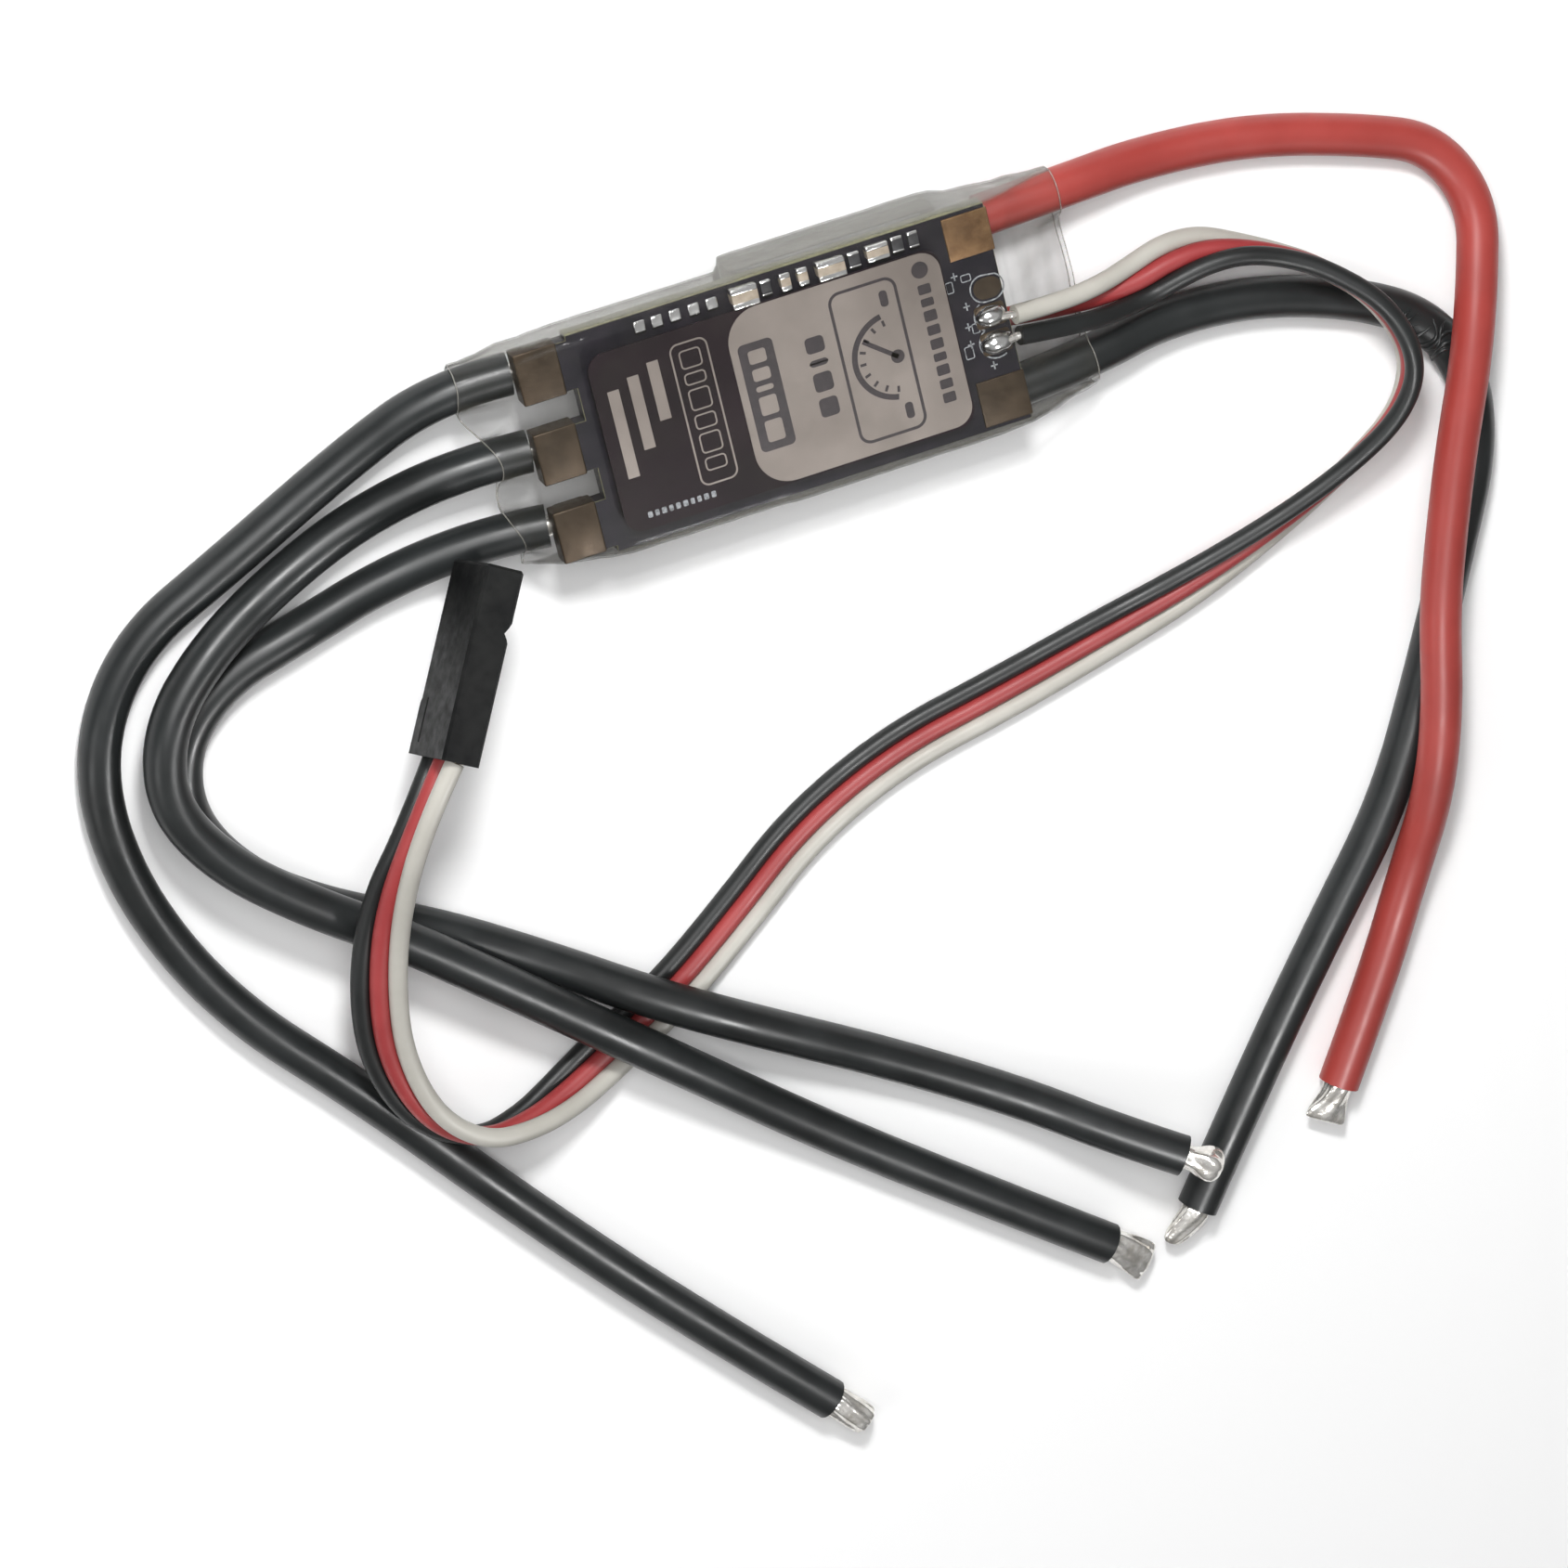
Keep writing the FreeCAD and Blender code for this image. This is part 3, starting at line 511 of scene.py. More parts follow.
def tips():
    made = {}
    made["a"] = tip("tip_a_strands", LEAD_A,
                    [(-0.3, 1.1, 1.05, 0, 0), (0.3, 1.18, 1.1, 0, 0), (1.2, 1.15, 1.07, 0.03, 0),
                     (2.2, 1.18, 1.02, -0.03, 0.02), (3.0, 1.15, 1.0, 0, 0), (3.4, 1.05, 0.9, 0, 0),
                     (3.5, 0.7, 0.6, 0, 0)], 9, "phase_tip_a")
    made["b"] = tip("tip_b_strands", LEAD_B,
                    [(-0.3, 1.1, 1.0, 0, 0), (0.3, 1.15, 0.98, 0, 0), (1.1, 1.25, 0.9, 0.05, 0),
                     (2.0, 1.38, 0.75, 0.15, -0.05), (2.9, 1.5, 0.6, 0.25, -0.15),
                     (3.5, 1.45, 0.5, 0.35, -0.2), (3.75, 1.2, 0.35, 0.4, -0.25)], 7, "phase_tip_b")
    made["c"] = tip("tip_c_strands", LEAD_C,
                    [(-0.3, 0.9, 0.85, 0, 0), (0.3, 0.88, 0.8, 0, 0), (0.8, 0.85, 0.8, 0, 0),
                     (1.3, 1.15, 1.0, 0, 0), (1.9, 1.38, 1.15, 0, 0), (2.5, 1.28, 1.05, 0, 0),
                     (2.95, 0.85, 0.7, 0, 0), (3.08, 0.4, 0.35, 0, 0)], 5, "phase_tip_c")
    made["positive"] = tip("tip_positive_strands", LEAD_POSITIVE,
                    [(-0.3, 1.05, 0.95, 0, 0), (0.3, 1.1, 0.9, 0, 0), (0.9, 1.05, 0.8, 0, 0),
                     (1.6, 1.2, 0.66, 0.05, 0), (2.3, 1.5, 0.52, 0.1, 0), (2.9, 1.7, 0.42, 0.05, 0),
                     (3.1, 1.5, 0.28, 0, 0)], 6, "battery_tip_positive")
    made["negative"] = tip("tip_negative_strands", LEAD_NEGATIVE,
                    [(-0.3, 1.05, 0.95, 0, 0), (0.4, 1.1, 0.85, 0, 0), (1.2, 1.1, 0.72, 0.15, 0),
                     (2.0, 1.0, 0.6, 0.35, -0.1), (2.8, 0.85, 0.5, 0.6, -0.15),
                     (3.4, 0.5, 0.35, 0.75, -0.2)], 8, "battery_tip_negative")
    return made


def route_points(obj):
    """Points along a cord's own spline, in millimetres."""
    data = obj.data.copy()
    data.bevel_depth = 0
    bare = bpy.data.objects.new("route", data)
    mesh = bpy.data.meshes.new_from_object(bare)
    points = [v.co / MM for v in mesh.vertices]
    bpy.data.objects.remove(bare)
    bpy.data.meshes.remove(mesh)
    return points


def creases(lead):
    """Ridges where the negative lead's insulation is creased by its first bend."""
    points = route_points_between(lead, Vector((45.2, -10.7, 1.55)), Vector((48.6, -15.0, 1.55)))
    bm = bmesh.new()
    count = 9
    for k in range(count):
        index = round((k + 0.5) / count * (len(points) - 2))
        place = points[index]
        along = (points[index + 1] - place).normalized()
        along = (along + Vector((random.uniform(-0.4, 0.4), random.uniform(-0.4, 0.4), 0))).normalized()
        across = along.cross(Vector((0, 0, 1))).normalized()
        up = across.cross(along)
        start = math.radians(random.uniform(-20, 30))
        sweep = math.radians(random.uniform(90, 160))
        rings = []
        for i in range(15):
            f = i / 14
            t = start + sweep * f
            thick = 0.2 * math.sin(math.pi * min(max(f, 0.04), 0.96))
            out = across * math.cos(t) + up * math.sin(t)
            centre = place + out * (LEAD_OD / 2) + along * 0.35 * math.sin(t * 3 + k)
            rings.append([centre + (out * math.cos(a) + along * math.sin(a)) * thick
                          for a in (math.radians(60 * j) for j in range(6))])
        add_loft(bm, rings)
    return piece("negative_lead_creases", bm, MAT["silicone_black"],
                 smooth=80)


def route_points_between(obj, first, last):
    """The stretch of a cord's points from the one nearest first to the one nearest last."""
    points = route_points(obj)
    a = min(range(len(points)), key=lambda i: (points[i] - first).length)
    b = min(range(len(points)), key=lambda i: (points[i] - last).length)
    return points[a:b + 1]


def cords():
    made = tips()
    leads = (("phase_lead_a", LEAD_A, 0.120, "silicone_black", made["a"]),
             ("phase_lead_b", LEAD_B, 0.122, "silicone_black", made["b"]),
             ("phase_lead_c", LEAD_C, 0.118, "silicone_black", made["c"]),
             ("battery_lead_positive", LEAD_POSITIVE, 0.109, "silicone_red", made["positive"]),
             ("battery_lead_negative", LEAD_NEGATIVE, 0.105, "silicone_black", made["negative"]))
    for node, route, length, mat_name, end in leads:
        lead = cord_curve(node + "_wire", route, LEAD_OD, mat_name, node)
    creases(lead)
    for color, length in (("black", 0.164), ("red", 0.162), ("white", 0.162)):
        node = "signal_core_" + color
        cord_curve(node + "_wire", core_route(color), CORE_OD, "core_" + color, node)


cords()

# ---------------------------------------------------------------- board
TOP = corners("main_board")[1].z
BOTTOM = corners("main_board")[0].z
EDGE_X = 15.7
EDGE_Y = 8.2
TAB_X = 19.5
TAB_HALF = 1.8
TABS_Y = (6.05, 0.0, -5.95)
MASK_T = 0.05
FOIL = 0.06


def board_outline(inset):
    """The board with its three tabs, from the corner beside the positive pad anticlockwise."""
    points = [(EDGE_X - inset, EDGE_Y - inset), (-EDGE_X + inset, EDGE_Y - inset)]
    for y in TABS_Y:
        points += [(-EDGE_X + inset, y + TAB_HALF - inset), (-TAB_X + inset, y + TAB_HALF - inset),
                   (-TAB_X + inset, y - TAB_HALF + inset), (-EDGE_X + inset, y - TAB_HALF + inset)]
    points += [(-EDGE_X + inset, -EDGE_Y + inset), (EDGE_X - inset, -EDGE_Y + inset)]
    return points


def board():
    core = bmesh.new()
    add_prism(core, board_outline(0), BOTTOM + MASK_T, TOP - MASK_T)
    slab = piece("board_laminate", core, MAT["laminate"],
                 ("main_board",), smooth=0)
    # The board's west edges, in the notches between the tabs, take the dark mask colour instead of the
    # laminate's: painted shade.
    slab.data.materials.append(MAT["solder_mask"])
    for face in slab.data.polygons:
        if face.center.x < -(EDGE_X - 0.1) * MM:
            face.material_index = 1
    for name, z0, z1 in (("board_mask_top", TOP - MASK_T, TOP),
                         ("board_mask_bottom", BOTTOM, BOTTOM + MASK_T)):
        skin = bmesh.new()
        add_prism(skin, board_outline(0.03), z0, z1)
        piece(name, skin, MAT["solder_mask"], smooth=0)


def pads():
    wrap = 0.13
    caps = [((-19.66, y - 1.93, BOTTOM - wrap), (-16.5, y + 1.93, TOP + wrap)) for y in TABS_Y]
    blocks("phase_pad_plating", caps, wrap, MAT["plating"], ("phase_pads",), 3)
    low, high = corners("battery_pad_positive")
    blocks("positive_pad_plating", [(low, high)], 0.08, MAT["plating_painted_light"],
           ("battery_pad_positive",), 3)
    low, high = corners("battery_pad_negative")
    blocks("negative_pad_plating", [(low, high)], 0.08, MAT["plating"],
           ("battery_pad_negative",), 3)
    bm = bmesh.new()
    oval = arc_points(14.35, 2.1, 0.78, 90, 270) + arc_points(14.85, 2.1, 0.78, -90, 90)
    add_prism(bm, oval, TOP, TOP + FOIL)
    for y in (0.07, -1.95):
        add_prism(bm, rounded_outline(13.25, 15.5, y - 0.85, y + 0.85, 0.3), TOP, TOP + FOIL)
    add_prism(bm, rounded_outline(13.6, 15.4, -2.15, -0.45, 0.3), BOTTOM - FOIL, BOTTOM)
    piece("signal_pad_plating", bm, MAT["plating"],
          ("signal_pads",), smooth=0)


board()
pads()

# ---------------------------------------------------------------- parts along the +Y edge
def terminal_parts(name, rows, body_mat, node, cap_share):
    """Two-ended chip parts, long way along Y: a body and two metal ends with solder at their feet."""
    bodies, ends = [], []
    for x, y, lx, ly, h in rows:
        reach = ly * cap_share
        bodies.append(((x - lx / 2 + 0.03, y - ly / 2 + reach * 0.6, TOP + 0.03),
                       (x + lx / 2 - 0.03, y + ly / 2 - reach * 0.6, TOP + h - 0.03)))
        for s in (-1, 1):
            a = y + s * ly / 2
            b = y + s * (ly / 2 - reach)
            ends.append(((x - lx / 2, min(a, b), TOP), (x + lx / 2, max(a, b), TOP + h)))
    blocks(name + "_bodies", bodies, 0.05, body_mat, (node,))
    blocks(name + "_ends", ends, 0.12, MAT["solder"], (), 3)


terminal_parts("edge_capacitor", [(-2.75, 7.25, 2.0, 1.5, 1.1), (3.75, 7.25, 2.1, 1.4, 1.1),
                                  (7.3, 7.35, 1.7, 1.2, 0.9)], MAT["ceramic_body"],
               "edge_capacitors", 0.3)
terminal_parts("edge_resistor", [(-1.0, 7.2, 0.8, 1.2, 0.45), (5.6, 7.2, 0.9, 1.2, 0.5),
                                 (8.9, 7.3, 0.9, 1.2, 0.45), (10.1, 7.3, 0.8, 1.2, 0.45)],
               MAT["chip_body"], "edge_resistors", 0.2)
terminal_parts("edge_small", [(0.4, 7.25, 0.8, 1.3, 0.75), (1.7, 7.25, 0.8, 1.3, 0.75)],
               MAT["ceramic_body"], "edge_small_capacitors", 0.3)
blocks("edge_solder_squares", [((x - 0.43, 6.8, TOP), (x + 0.43, 7.7, TOP + 0.3))
                               for x in (-10.4, -9.1, -7.75, -6.35, -5.0)],
       0.14, MAT["solder"], ("edge_solder_pads",), 3)


# ---------------------------------------------------------------- solder mounds
def mound(name, blobs, replaced):
    """Smooth drops of solder: centre, radii along x, y, z; flat side at z."""
    bm = bmesh.new()
    for (x, y, z), (rx, ry, rz) in blobs:
        made = bmesh.ops.create_uvsphere(bm, u_segments=28, v_segments=16, radius=1.0)
        for v in made["verts"]:
            p = v.co.copy()
            wobble = 1 + 0.08 * noise.noise(p * 1.7 + Vector((x, y, z)))
            up = p.z if p.z * rz > 0 else p.z * 0.15
            v.co = Vector((x + p.x * rx * wobble, y + p.y * ry * wobble, z + up * rz))
    return piece(name, bm, MAT["solder"], replaced, smooth=80)


mound("signal_solder", [((14.35, 0.07, TOP + 0.05), (1.2, 0.78, 0.85)),
                        ((14.4, -1.95, TOP + 0.05), (1.25, 0.85, 0.85)),
                        ((14.5, -1.3, BOTTOM - 0.05), (0.9, 0.8, -0.7))], ("signal_solder_joints",))

# ---------------------------------------------------------------- label
LABEL_TOP = corners("label_backing")[1].z
PANEL_TOP = corners("label_panel")[1].z
PRINT = 0.012
SILK = 0.015
DIAL_X = 6.9
DIAL_Y = -0.25


def corner(cx, cy, r, start):
    return arc_points(cx, cy, r, start, start + 90, 10)


def label():
    bm = bmesh.new()
    add_prism(bm, rounded_outline(-14.9, 11.5, -7.0, 6.48, 1.3, 8), LABEL_TOP - 0.1, LABEL_TOP)
    piece("label_base", bm, MAT["label_dark"], ("label_backing",), smooth=0)
    bm = bmesh.new()
    top, bottom, right, left, wide, narrow = 6.4, -6.85, 11.4, -4.75, 2.6, 1.5
    outline = corner(right - narrow, top - narrow, narrow, 0) + corner(left + wide, top - wide, wide, 90)
    outline += corner(left + wide, bottom + wide, wide, 180)
    outline += corner(right - narrow, bottom + narrow, narrow, 270)
    add_prism(bm, outline, LABEL_TOP, PANEL_TOP)
    piece("label_bright_panel", bm, MAT["label_silver"],
          ("label_panel",), smooth=0)


def dial(bm, z):
    """A gauge: scale, ticks, needle and hub."""
    add_stroke(bm, arc_points(DIAL_X, DIAL_Y, 3.1, 100, 260, 24), 0.42, z, z + PRINT)
    for turn in range(100, 261, 20):
        a = math.radians(turn)
        add_stroke(bm, [(DIAL_X + 2.3 * math.cos(a), 2.3 * math.sin(a) + DIAL_Y),
                        (DIAL_X + 2.75 * math.cos(a), 2.75 * math.sin(a) + DIAL_Y)], 0.2, z, z + PRINT)
    add_stroke(bm, [(7.0, -0.45), (4.7, 1.4)], 0.34, z, z + PRINT)
    add_prism(bm, arc_points(6.95, -0.4, 0.5, 0, 342, 18), z, z + PRINT)


def dark_marks():
    """Ink on the bright panel: plain marks where such a label carries print, no lettering."""
    z = PANEL_TOP
    ink = bmesh.new()
    add_stroke(ink, rounded_outline(3.0, 7.9, -5.9, 5.4, 0.8), 0.22, z, z + PRINT, closed=True)
    dial(ink, z)
    for y0, y1 in ((3.4, 4.6), (-5.1, -3.9)):
        add_prism(ink, rounded_outline(6.6, 7.2, y0, y1, 0.25, 4), z, z + PRINT)
    for y0, y1 in ((2.9, 1.7), (1.2, 0.7), (0.2, -1.2), (-1.7, -3.1)):
        add_prism(ink, rounded_outline(0.6, 2.0, y1, y0, 0.3, 4), z, z + PRINT)
    add_prism(ink, rounded_outline(-4.2, -1.6, -4.2, 3.9, 0.4), z, z + PRINT)
    add_prism(ink, arc_points(9.9, 5.2, 0.62, 0, 345, 20), z, z + PRINT)
    y = 4.1
    for size in (0.72, 0.6, 0.8, 0.72, 0.76, 0.6, 0.76, 0.7, 0.74):
        add_prism(ink, rounded_outline(9.45, 10.4, y - size, y, 0.12, 3), z, z + PRINT)
        y -= size + 0.32
    piece("label_ink_marks", ink, MAT["label_ink"], smooth=0)


def bright_marks():
    """Blocks inside the panel's ink, and bars and outlined cells on the dark label."""
    bright = bmesh.new()
    z = PANEL_TOP + PRINT
    for y0, y1 in ((3.3, 2.3), (1.9, 1.0), (0.6, 0.2), (-0.2, -1.6), (-2.0, -3.6)):
        add_prism(bright, rounded_outline(-3.55, -2.25, y1, y0, 0.2, 4), z, z + PRINT)
    z = LABEL_TOP
    for x, y0, y1 in ((-13.5, -3.0, 3.6), (-11.9, -1.3, 4.2), (-10.3, 0.4, 4.8)):
        add_stroke(bright, [(x, y0), (x, y1)], 0.85, z, z + PRINT)
    add_stroke(bright, rounded_outline(-8.9, -6.2, -5.2, 5.4, 0.6), 0.13, z, z + PRINT, closed=True)
    y = 4.8
    for size in (1.3, 0.8, 1.5, 1.0, 1.4, 0.9):
        cell = rounded_outline(-8.3, -6.8, y - size, y, 0.25, 4)
        add_stroke(bright, cell, 0.11, z, z + PRINT, closed=True)
        y -= size + 0.42
    piece("label_bright_marks", bright, MAT["label_silver"],
          smooth=0)


def small_print():
    """A row of small squares near the label's edge."""
    faint = bmesh.new()
    x = -13.2
    for size in (0.34, 0.3, 0.36, 0.3, 0.34, 0.36, 0.3, 0.3, 0.36, 0.34):
        add_prism(faint, rounded_outline(x, x + size, -6.2, -5.75, 0.08, 2), LABEL_TOP, LABEL_TOP + PRINT)
        x += size + 0.2
    piece("label_small_print", faint, MAT["silkscreen"],
          smooth=0)


def silkscreen():
    """White lines printed on the board beside the signal pads."""
    bm = bmesh.new()
    z = TOP
    ring = arc_points(14.35, 2.1, 1.0, 90, 270) + arc_points(14.85, 2.1, 1.0, -90, 90)[:-1]
    add_stroke(bm, ring[:-1], 0.1, z, z + SILK, closed=True)
    add_stroke(bm, arc_points(14.35, 0.07, 1.15, 120, 240), 0.1, z, z + SILK)
    add_stroke(bm, arc_points(14.35, -1.95, 1.2, 120, 300), 0.1, z, z + SILK)
    for x, y in ((12.2, 3.6), (12.6, 1.2), (12.4, -0.3), (12.3, -1.6), (13.6, -3.6)):
        add_stroke(bm, [(x, y), (x + 0.5, y)], 0.1, z, z + SILK)
        add_stroke(bm, [(x + 0.25, y - 0.3), (x + 0.25, y + 0.3)], 0.1, z, z + SILK)
    for x, y, w, h in ((11.7, 2.5, 0.5, 0.8), (12.9, 3.0, 0.7, 0.5), (12.0, -2.6, 0.6, 0.9),
                       (12.9, -0.9, 0.5, 0.7)):
        add_stroke(bm, rounded_outline(x, x + w, y, y + h, 0.1, 2), 0.07, z, z + SILK, closed=True)
    piece("board_silkscreen", bm, MAT["silkscreen"], smooth=0)


label()
dark_marks()
bright_marks()
small_print()
silkscreen()

# ---------------------------------------------------------------- clear sleeve
FILM_T = 0.11
BEAD_R = 0.045
# x, half width, bottom, top, how far it is shrunk round the leads
FILM = [(-22.2, 7.85, 2.0, 5.55, 1.0), (-21.6, 7.9, 1.95, 5.6, 0.95), (-20.6, 8.05, 2.0, 6.1, 0.6),
        (-19.6, 8.15, 2.1, 6.7, 0.15), (-18.0, 8.25, 2.3, 6.8, 0.0), (-16.4, 8.4, 2.6, 7.2, 0.0),
        (-14.8, 8.5, 2.8, 7.5, 0.0), (-3.7, 8.5, 2.8, 7.58, 0.0), (-3.1, 8.52, 1.6, 7.58, 0.0),
        (-2.6, 8.58, 0.12, 7.58, 0.0), (-1.6, 8.6, 0.0, 7.58, 0.0), (12.4, 8.6, 0.0, 7.58, 0.0),
        (13.3, 8.57, 0.2, 7.58, 0.0), (14.2, 8.5, 1.1, 7.58, 0.0), (15.6, 8.45, 1.4, 7.5, 0.0),
        (16.8, 8.4, 1.4, 7.3, 0.1), (18.4, 8.35, 1.4, 7.0, 0.35), (20.0, 8.3, 1.35, 6.85, 0.6),
        (21.5, 8.25, 1.3, 6.75, 0.8)]


def between(x):
    """The film's section at any x."""
    for a, b in zip(FILM, FILM[1:]):
        if x <= b[0]:
            t = (x - a[0]) / (b[0] - a[0])
            return [p + (q - p) * t for p, q in zip(a[1:], b[1:])]
    return list(FILM[-1][1:])


def lead_at(route, x):
    """Where a lead's axis is near its exit, at x."""
    first, second = route[0], route[1]
    t = (x - first[0]) / (second[0] - first[0])
    return first[1] + (second[1] - first[1]) * t, first[2] + (second[2] - first[2]) * t


def lead_profile(x, y):
    """Lower and upper height of the leads' skin at y, with a thin web between them."""
    routes = (LEAD_A, LEAD_B, LEAD_C) if x < 0 else (LEAD_POSITIVE, LEAD_NEGATIVE)
    leads = [lead_at(route, x) for route in routes]
    web = sum(z for _, z in leads) / len(leads)
    radius = LEAD_OD / 2
    low, high = web - 0.22, web + 0.22
    for cy, cz in leads:
        d = abs(y - cy)
        if d < radius + 0.9:
            rise = math.sqrt(max((radius + 0.14) ** 2 - d * d, 0))
            skirt = max(0.0, 1 - (d / (radius + 0.9)) ** 2) * (radius * 0.55)
            high = max(high, cz + max(rise, skirt))
            low = min(low, cz - max(rise, skirt))
    return low, high


def film_ring(x, inset):
    """One ring of the sleeve at x; the inset takes it from the outer to the inner skin."""
    half, z0, z1, shrunk = between(x)
    half -= inset
    z0 += inset
    z1 -= inset
    r = min(0.95, (z1 - z0) / 2 - 0.05) - inset * 0.5
    path = [(half - r, z0 + r, -90), (half - r, z1 - r, 0),
            (-half + r, z1 - r, 90), (-half + r, z0 + r, 180)]
    outline = []
    for i, (cy, cz, start) in enumerate(path):
        for k in range(9):
            t = math.radians(start + 90 * k / 8)
            outline.append((cy + r * math.cos(t), cz + r * math.sin(t)))
        ny, nz, nstart = path[(i + 1) % 4]
        t = math.radians(nstart)
        end = (ny + r * math.cos(t), nz + r * math.sin(t))
        begin = outline[-1]
        span = 36 if abs(end[0] - begin[0]) > 3 else 6
        for k in range(1, span):
            f = k / span
            outline.append((begin[0] + (end[0] - begin[0]) * f, begin[1] + (end[1] - begin[1]) * f))
    ring = []
    for y, z in outline:
        if shrunk > 0:
            low, high = lead_profile(x, y)
            low += inset * 0.9
            high -= inset * 0.9
            f = (z - z0) / (z1 - z0)
            z = z + (low + (high - low) * f - z) * shrunk
        ring.append(Vector((x, y, z)))
    return ring


def film_wrinkle(p):
    """Small waves in the film, more where it is free of the board."""
    free = 0.2 + 0.8 * max(0.0, min(1.0, (abs(p.x) - 14.5) / 3))
    wave = noise.noise(Vector((p.x * 0.55, p.y * 0.5, p.z * 0.6 + 3))) * 0.16
    wave += noise.noise(Vector((p.x * 1.7, p.y * 1.3, p.z * 1.5 + 9))) * 0.05
    return wave * free


def film_shift(p, out):
    """How far a point stands from its plain section: wrinkles, and ends that aren't cut square."""
    shift = out * film_wrinkle(p)
    if p.x < -19.0:
        shift += Vector((-2.0 * min(max((p.y + 1) / 8, 0), 1) * min(1, (-19.0 - p.x) / 3.2), 0, 0))
    if abs(p.x) > 20.9:
        ragged = 1 if p.x < 0 else 0.3
        shift += Vector((0.35 * math.sin(p.y * 0.9 + 1.1) * (abs(p.x) - 20.9) * ragged, 0, 0))
    return shift


def film_sections():
    """Stations along the sleeve, about half a millimetre apart."""
    xs = []
    for a, b in zip(FILM, FILM[1:]):
        count = max(2, round((b[0] - a[0]) / 0.45))
        xs += [a[0] + (b[0] - a[0]) * i / count for i in range(count)]
    return xs + [FILM[-1][0]]


def cut_edge(name, ring, inside):
    """A fine bead along the cut end of the film."""
    bm = bmesh.new()
    loops = []
    count = len(ring)
    for i in range(count):
        middle = (ring[i] + inside[i]) / 2
        along = (ring[(i + 1) % count] - ring[i - 1]).normalized()
        out = Vector((1, 0, 0)).cross(along).normalized()
        loops.append([middle + (out * math.cos(t) + out.cross(along) * math.sin(t)) * BEAD_R
                      for t in (math.radians(60 * k) for k in range(6))])
    add_loft(bm, loops + [loops[0]], caps=False)
    bmesh.ops.remove_doubles(bm, verts=bm.verts, dist=1e-5)
    piece(name, bm, MAT["film_edge"], smooth=80)


def sleeve():
    outer, inner = [], []
    for x in film_sections():
        ring = film_ring(x, 0)
        inside = film_ring(x, FILM_T)
        shifts = []
        for p, q in zip(ring, inside):
            out = (p - q).normalized() if (p - q).length > 1e-6 else Vector((0, 0, 1))
            shifts.append(film_shift(p, out))
        outer.append([p + shift for p, shift in zip(ring, shifts)])
        inner.append([q + shift for q, shift in zip(inside, shifts)])
    bm = bmesh.new()
    add_loft(bm, outer + inner[::-1] + [outer[0]], caps=False)
    bmesh.ops.remove_doubles(bm, verts=bm.verts, dist=1e-5)
    piece("clear_sleeve", bm, MAT["clear_film"],
          ("heat_shrink_sleeve",), smooth=60)
    cut_edge("sleeve_cut_edge_left", outer[0], inner[0])
    cut_edge("sleeve_cut_edge_right", outer[-1], inner[-1])


sleeve()

# ---------------------------------------------------------------- what keeps its CAD shape
slots = {part["node"]: part["material_slot"] for part in frame["record"]["subparts"]}
for node, obj in nodes.items():
    if obj.hide_render:
        continue
    obj.data.materials.clear()
    obj.data.materials.append(MAT[slots[node]])
    obj.data.polygons.foreach_set("use_smooth", [True] * len(obj.data.polygons))
    obj.data.set_sharp_from_angle(angle=math.radians(35))


# ---------------------------------------------------------------- floor, light, camera
FLOOR_GAP = 0.06
CAMERA_LEAN_X = math.radians(-12)
CAMERA_LEAN_Y = math.radians(22)
CAMERA_ROLL = math.radians(13.906)
CAMERA_TARGET = (-6.856, -31.411, 0)
CAMERA_DISTANCE = 603.6
CAMERA_LENS = 192.0


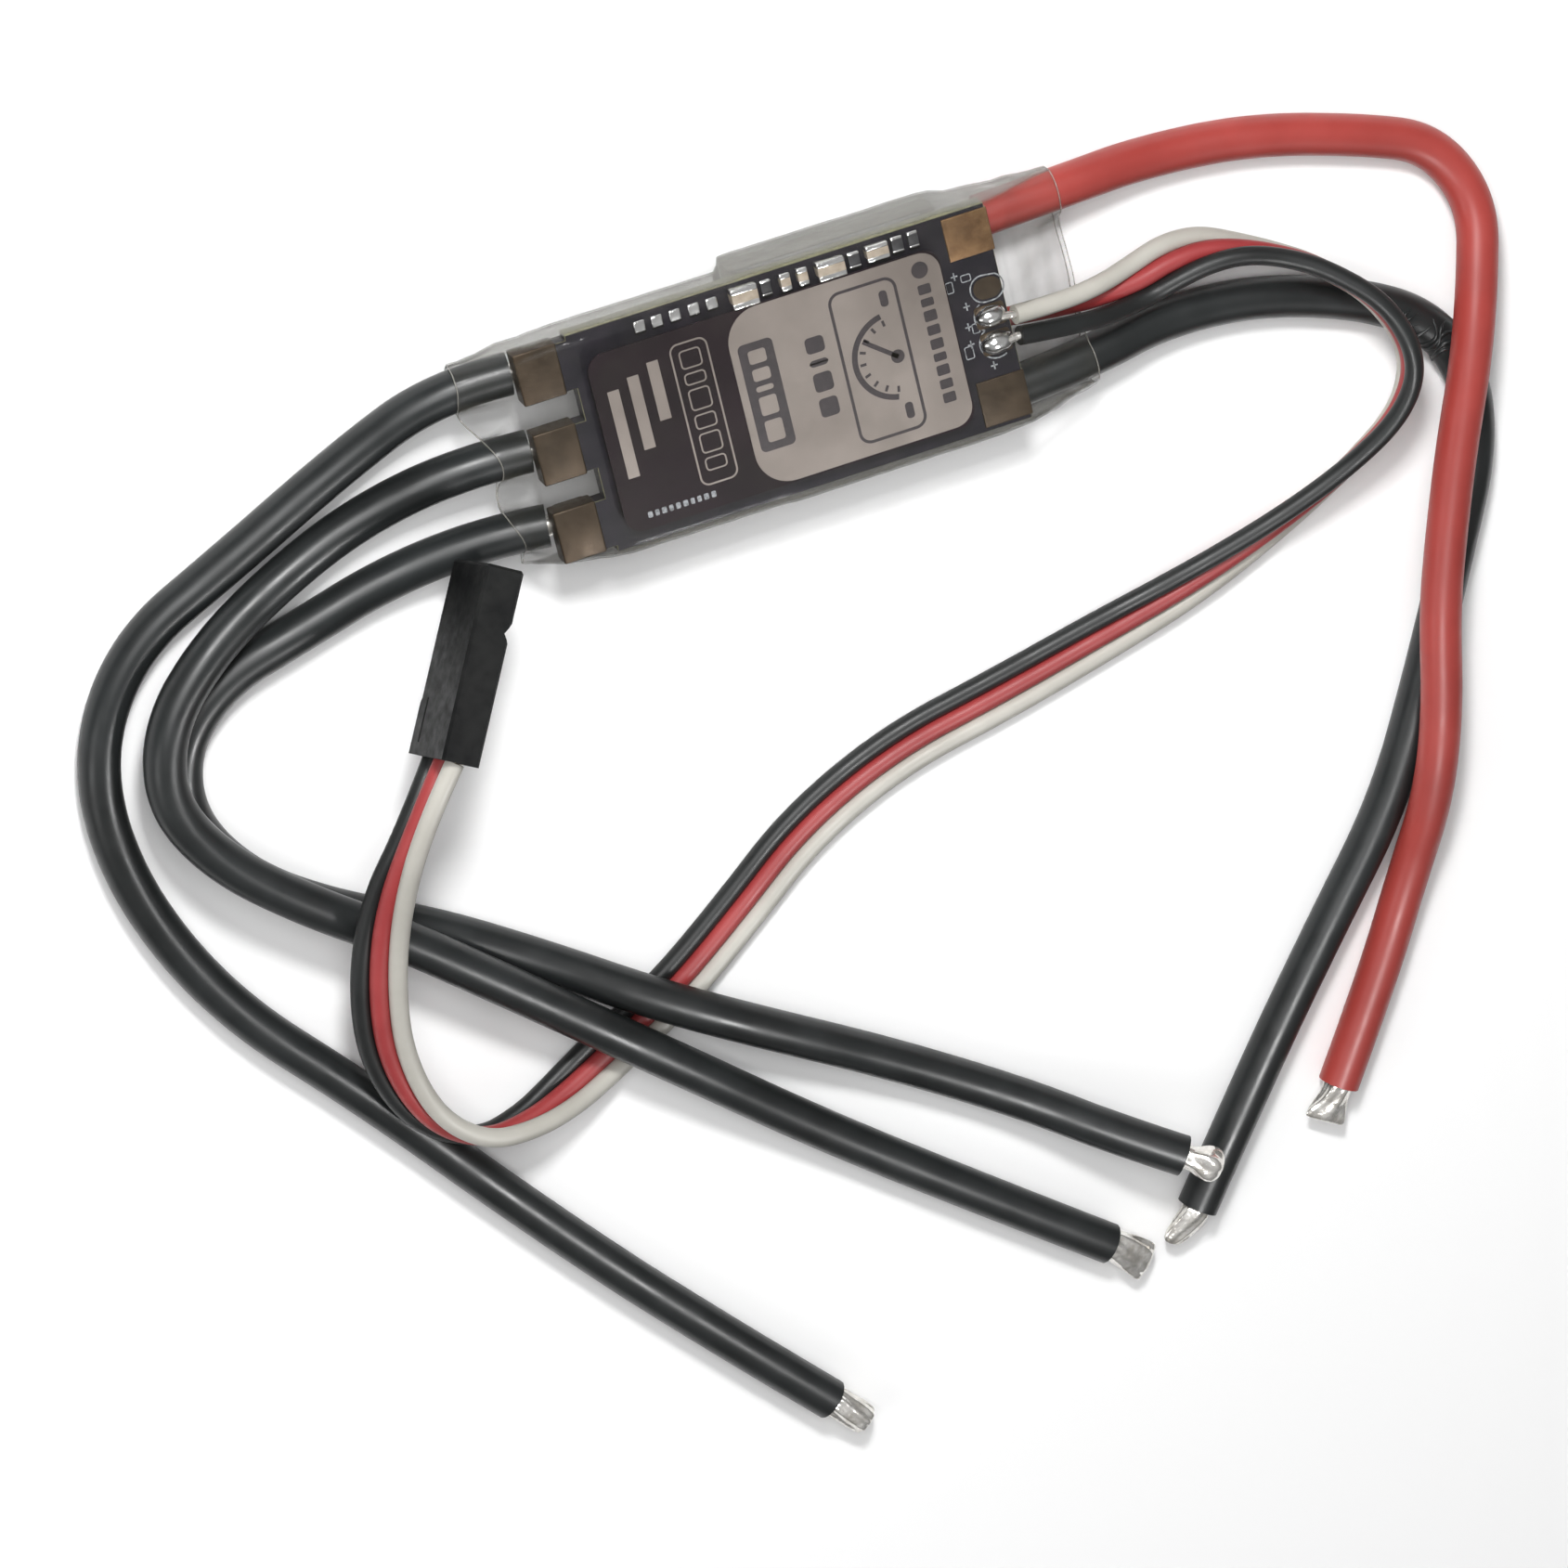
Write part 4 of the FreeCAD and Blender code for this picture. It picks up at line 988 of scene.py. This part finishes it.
def stage():
    bm = bmesh.new()
    bmesh.ops.create_grid(bm, x_segments=1, y_segments=1, size=1.5)
    mesh = bpy.data.meshes.new("floor")
    bm.to_mesh(mesh)
    bm.free()
    floor = bpy.data.objects.new("floor", mesh)
    bpy.context.scene.collection.objects.link(floor)
    floor.location.z = -FLOOR_GAP * MM
    pale = material("floor_paper", (0.94, 0.94, 0.94), 0.9, Specular_IOR_Level=0.1)
    mesh.materials.append(pale)

    studio_world()
    middle = Vector((0, -30, 0)) * MM
    for name, place, size, power in (("key", (-25, 170, 230), 46, 0.7),
                                     ("softbox_over", (-120, 160, 480), 240, 1.05),
                                     ("softbox_side", (-380, -60, 240), 160, 0.3),
                                     ("streak", (10, -80, 105), 20, 0.09)):
        data = bpy.data.lights.new(name, "AREA")
        data.shape = "SQUARE"
        data.size = size * MM
        data.energy = power
        light = bpy.data.objects.new(name, data)
        bpy.context.scene.collection.objects.link(light)
        light.location = Vector(place) * MM
        light.rotation_euler = (light.location - middle).to_track_quat("Z", "Y").to_euler()
        light.visible_diffuse = name != "streak"


def studio_world():
    """A pale room: bright overhead, darker walls, so metal and rubber have something to reflect."""
    world = bpy.data.worlds.new("studio")
    world.use_nodes = True
    tree = world.node_tree
    coord = tree.nodes.new("ShaderNodeTexCoord")
    split = tree.nodes.new("ShaderNodeSeparateXYZ")
    levels = tree.nodes.new("ShaderNodeValToRGB")
    stops = ((0.0, 0.6), (0.03, 0.6), (0.08, 0.1), (0.45, 0.2), (0.8, 0.42), (1.0, 0.36))
    while len(levels.color_ramp.elements) < len(stops):
        levels.color_ramp.elements.new(0.5)
    for element, (place, value) in zip(levels.color_ramp.elements, stops):
        element.position = place
        element.color = (value, value, value, 1)
    tree.links.new(coord.outputs["Generated"], split.inputs["Vector"])
    tree.links.new(split.outputs["Z"], levels.inputs["Fac"])
    tree.links.new(levels.outputs["Color"], tree.nodes["Background"].inputs["Color"])
    bpy.context.scene.world = world


def camera():
    """Long lens, from above and a little to the north-west, rolled."""
    away = Vector((math.tan(CAMERA_LEAN_X), math.tan(CAMERA_LEAN_Y), 1)).normalized()
    target = Vector(CAMERA_TARGET) * MM
    level = Vector((0, 1, 0)).cross(away).normalized()
    top = away.cross(level)
    right = level * math.cos(CAMERA_ROLL) - top * math.sin(CAMERA_ROLL)
    up = away.cross(right)
    data = bpy.data.cameras.new("camera")
    data.sensor_width = 36
    data.lens = CAMERA_LENS
    data.clip_start = 0.01
    cam = bpy.data.objects.new("camera", data)
    bpy.context.scene.collection.objects.link(cam)
    place = Matrix((right, up, away)).transposed().to_4x4()
    place.translation = target + away * CAMERA_DISTANCE * MM
    cam.matrix_world = place
    bpy.context.scene.camera = cam


stage()
camera()
bpy.context.scene.view_settings.view_transform = "Standard"
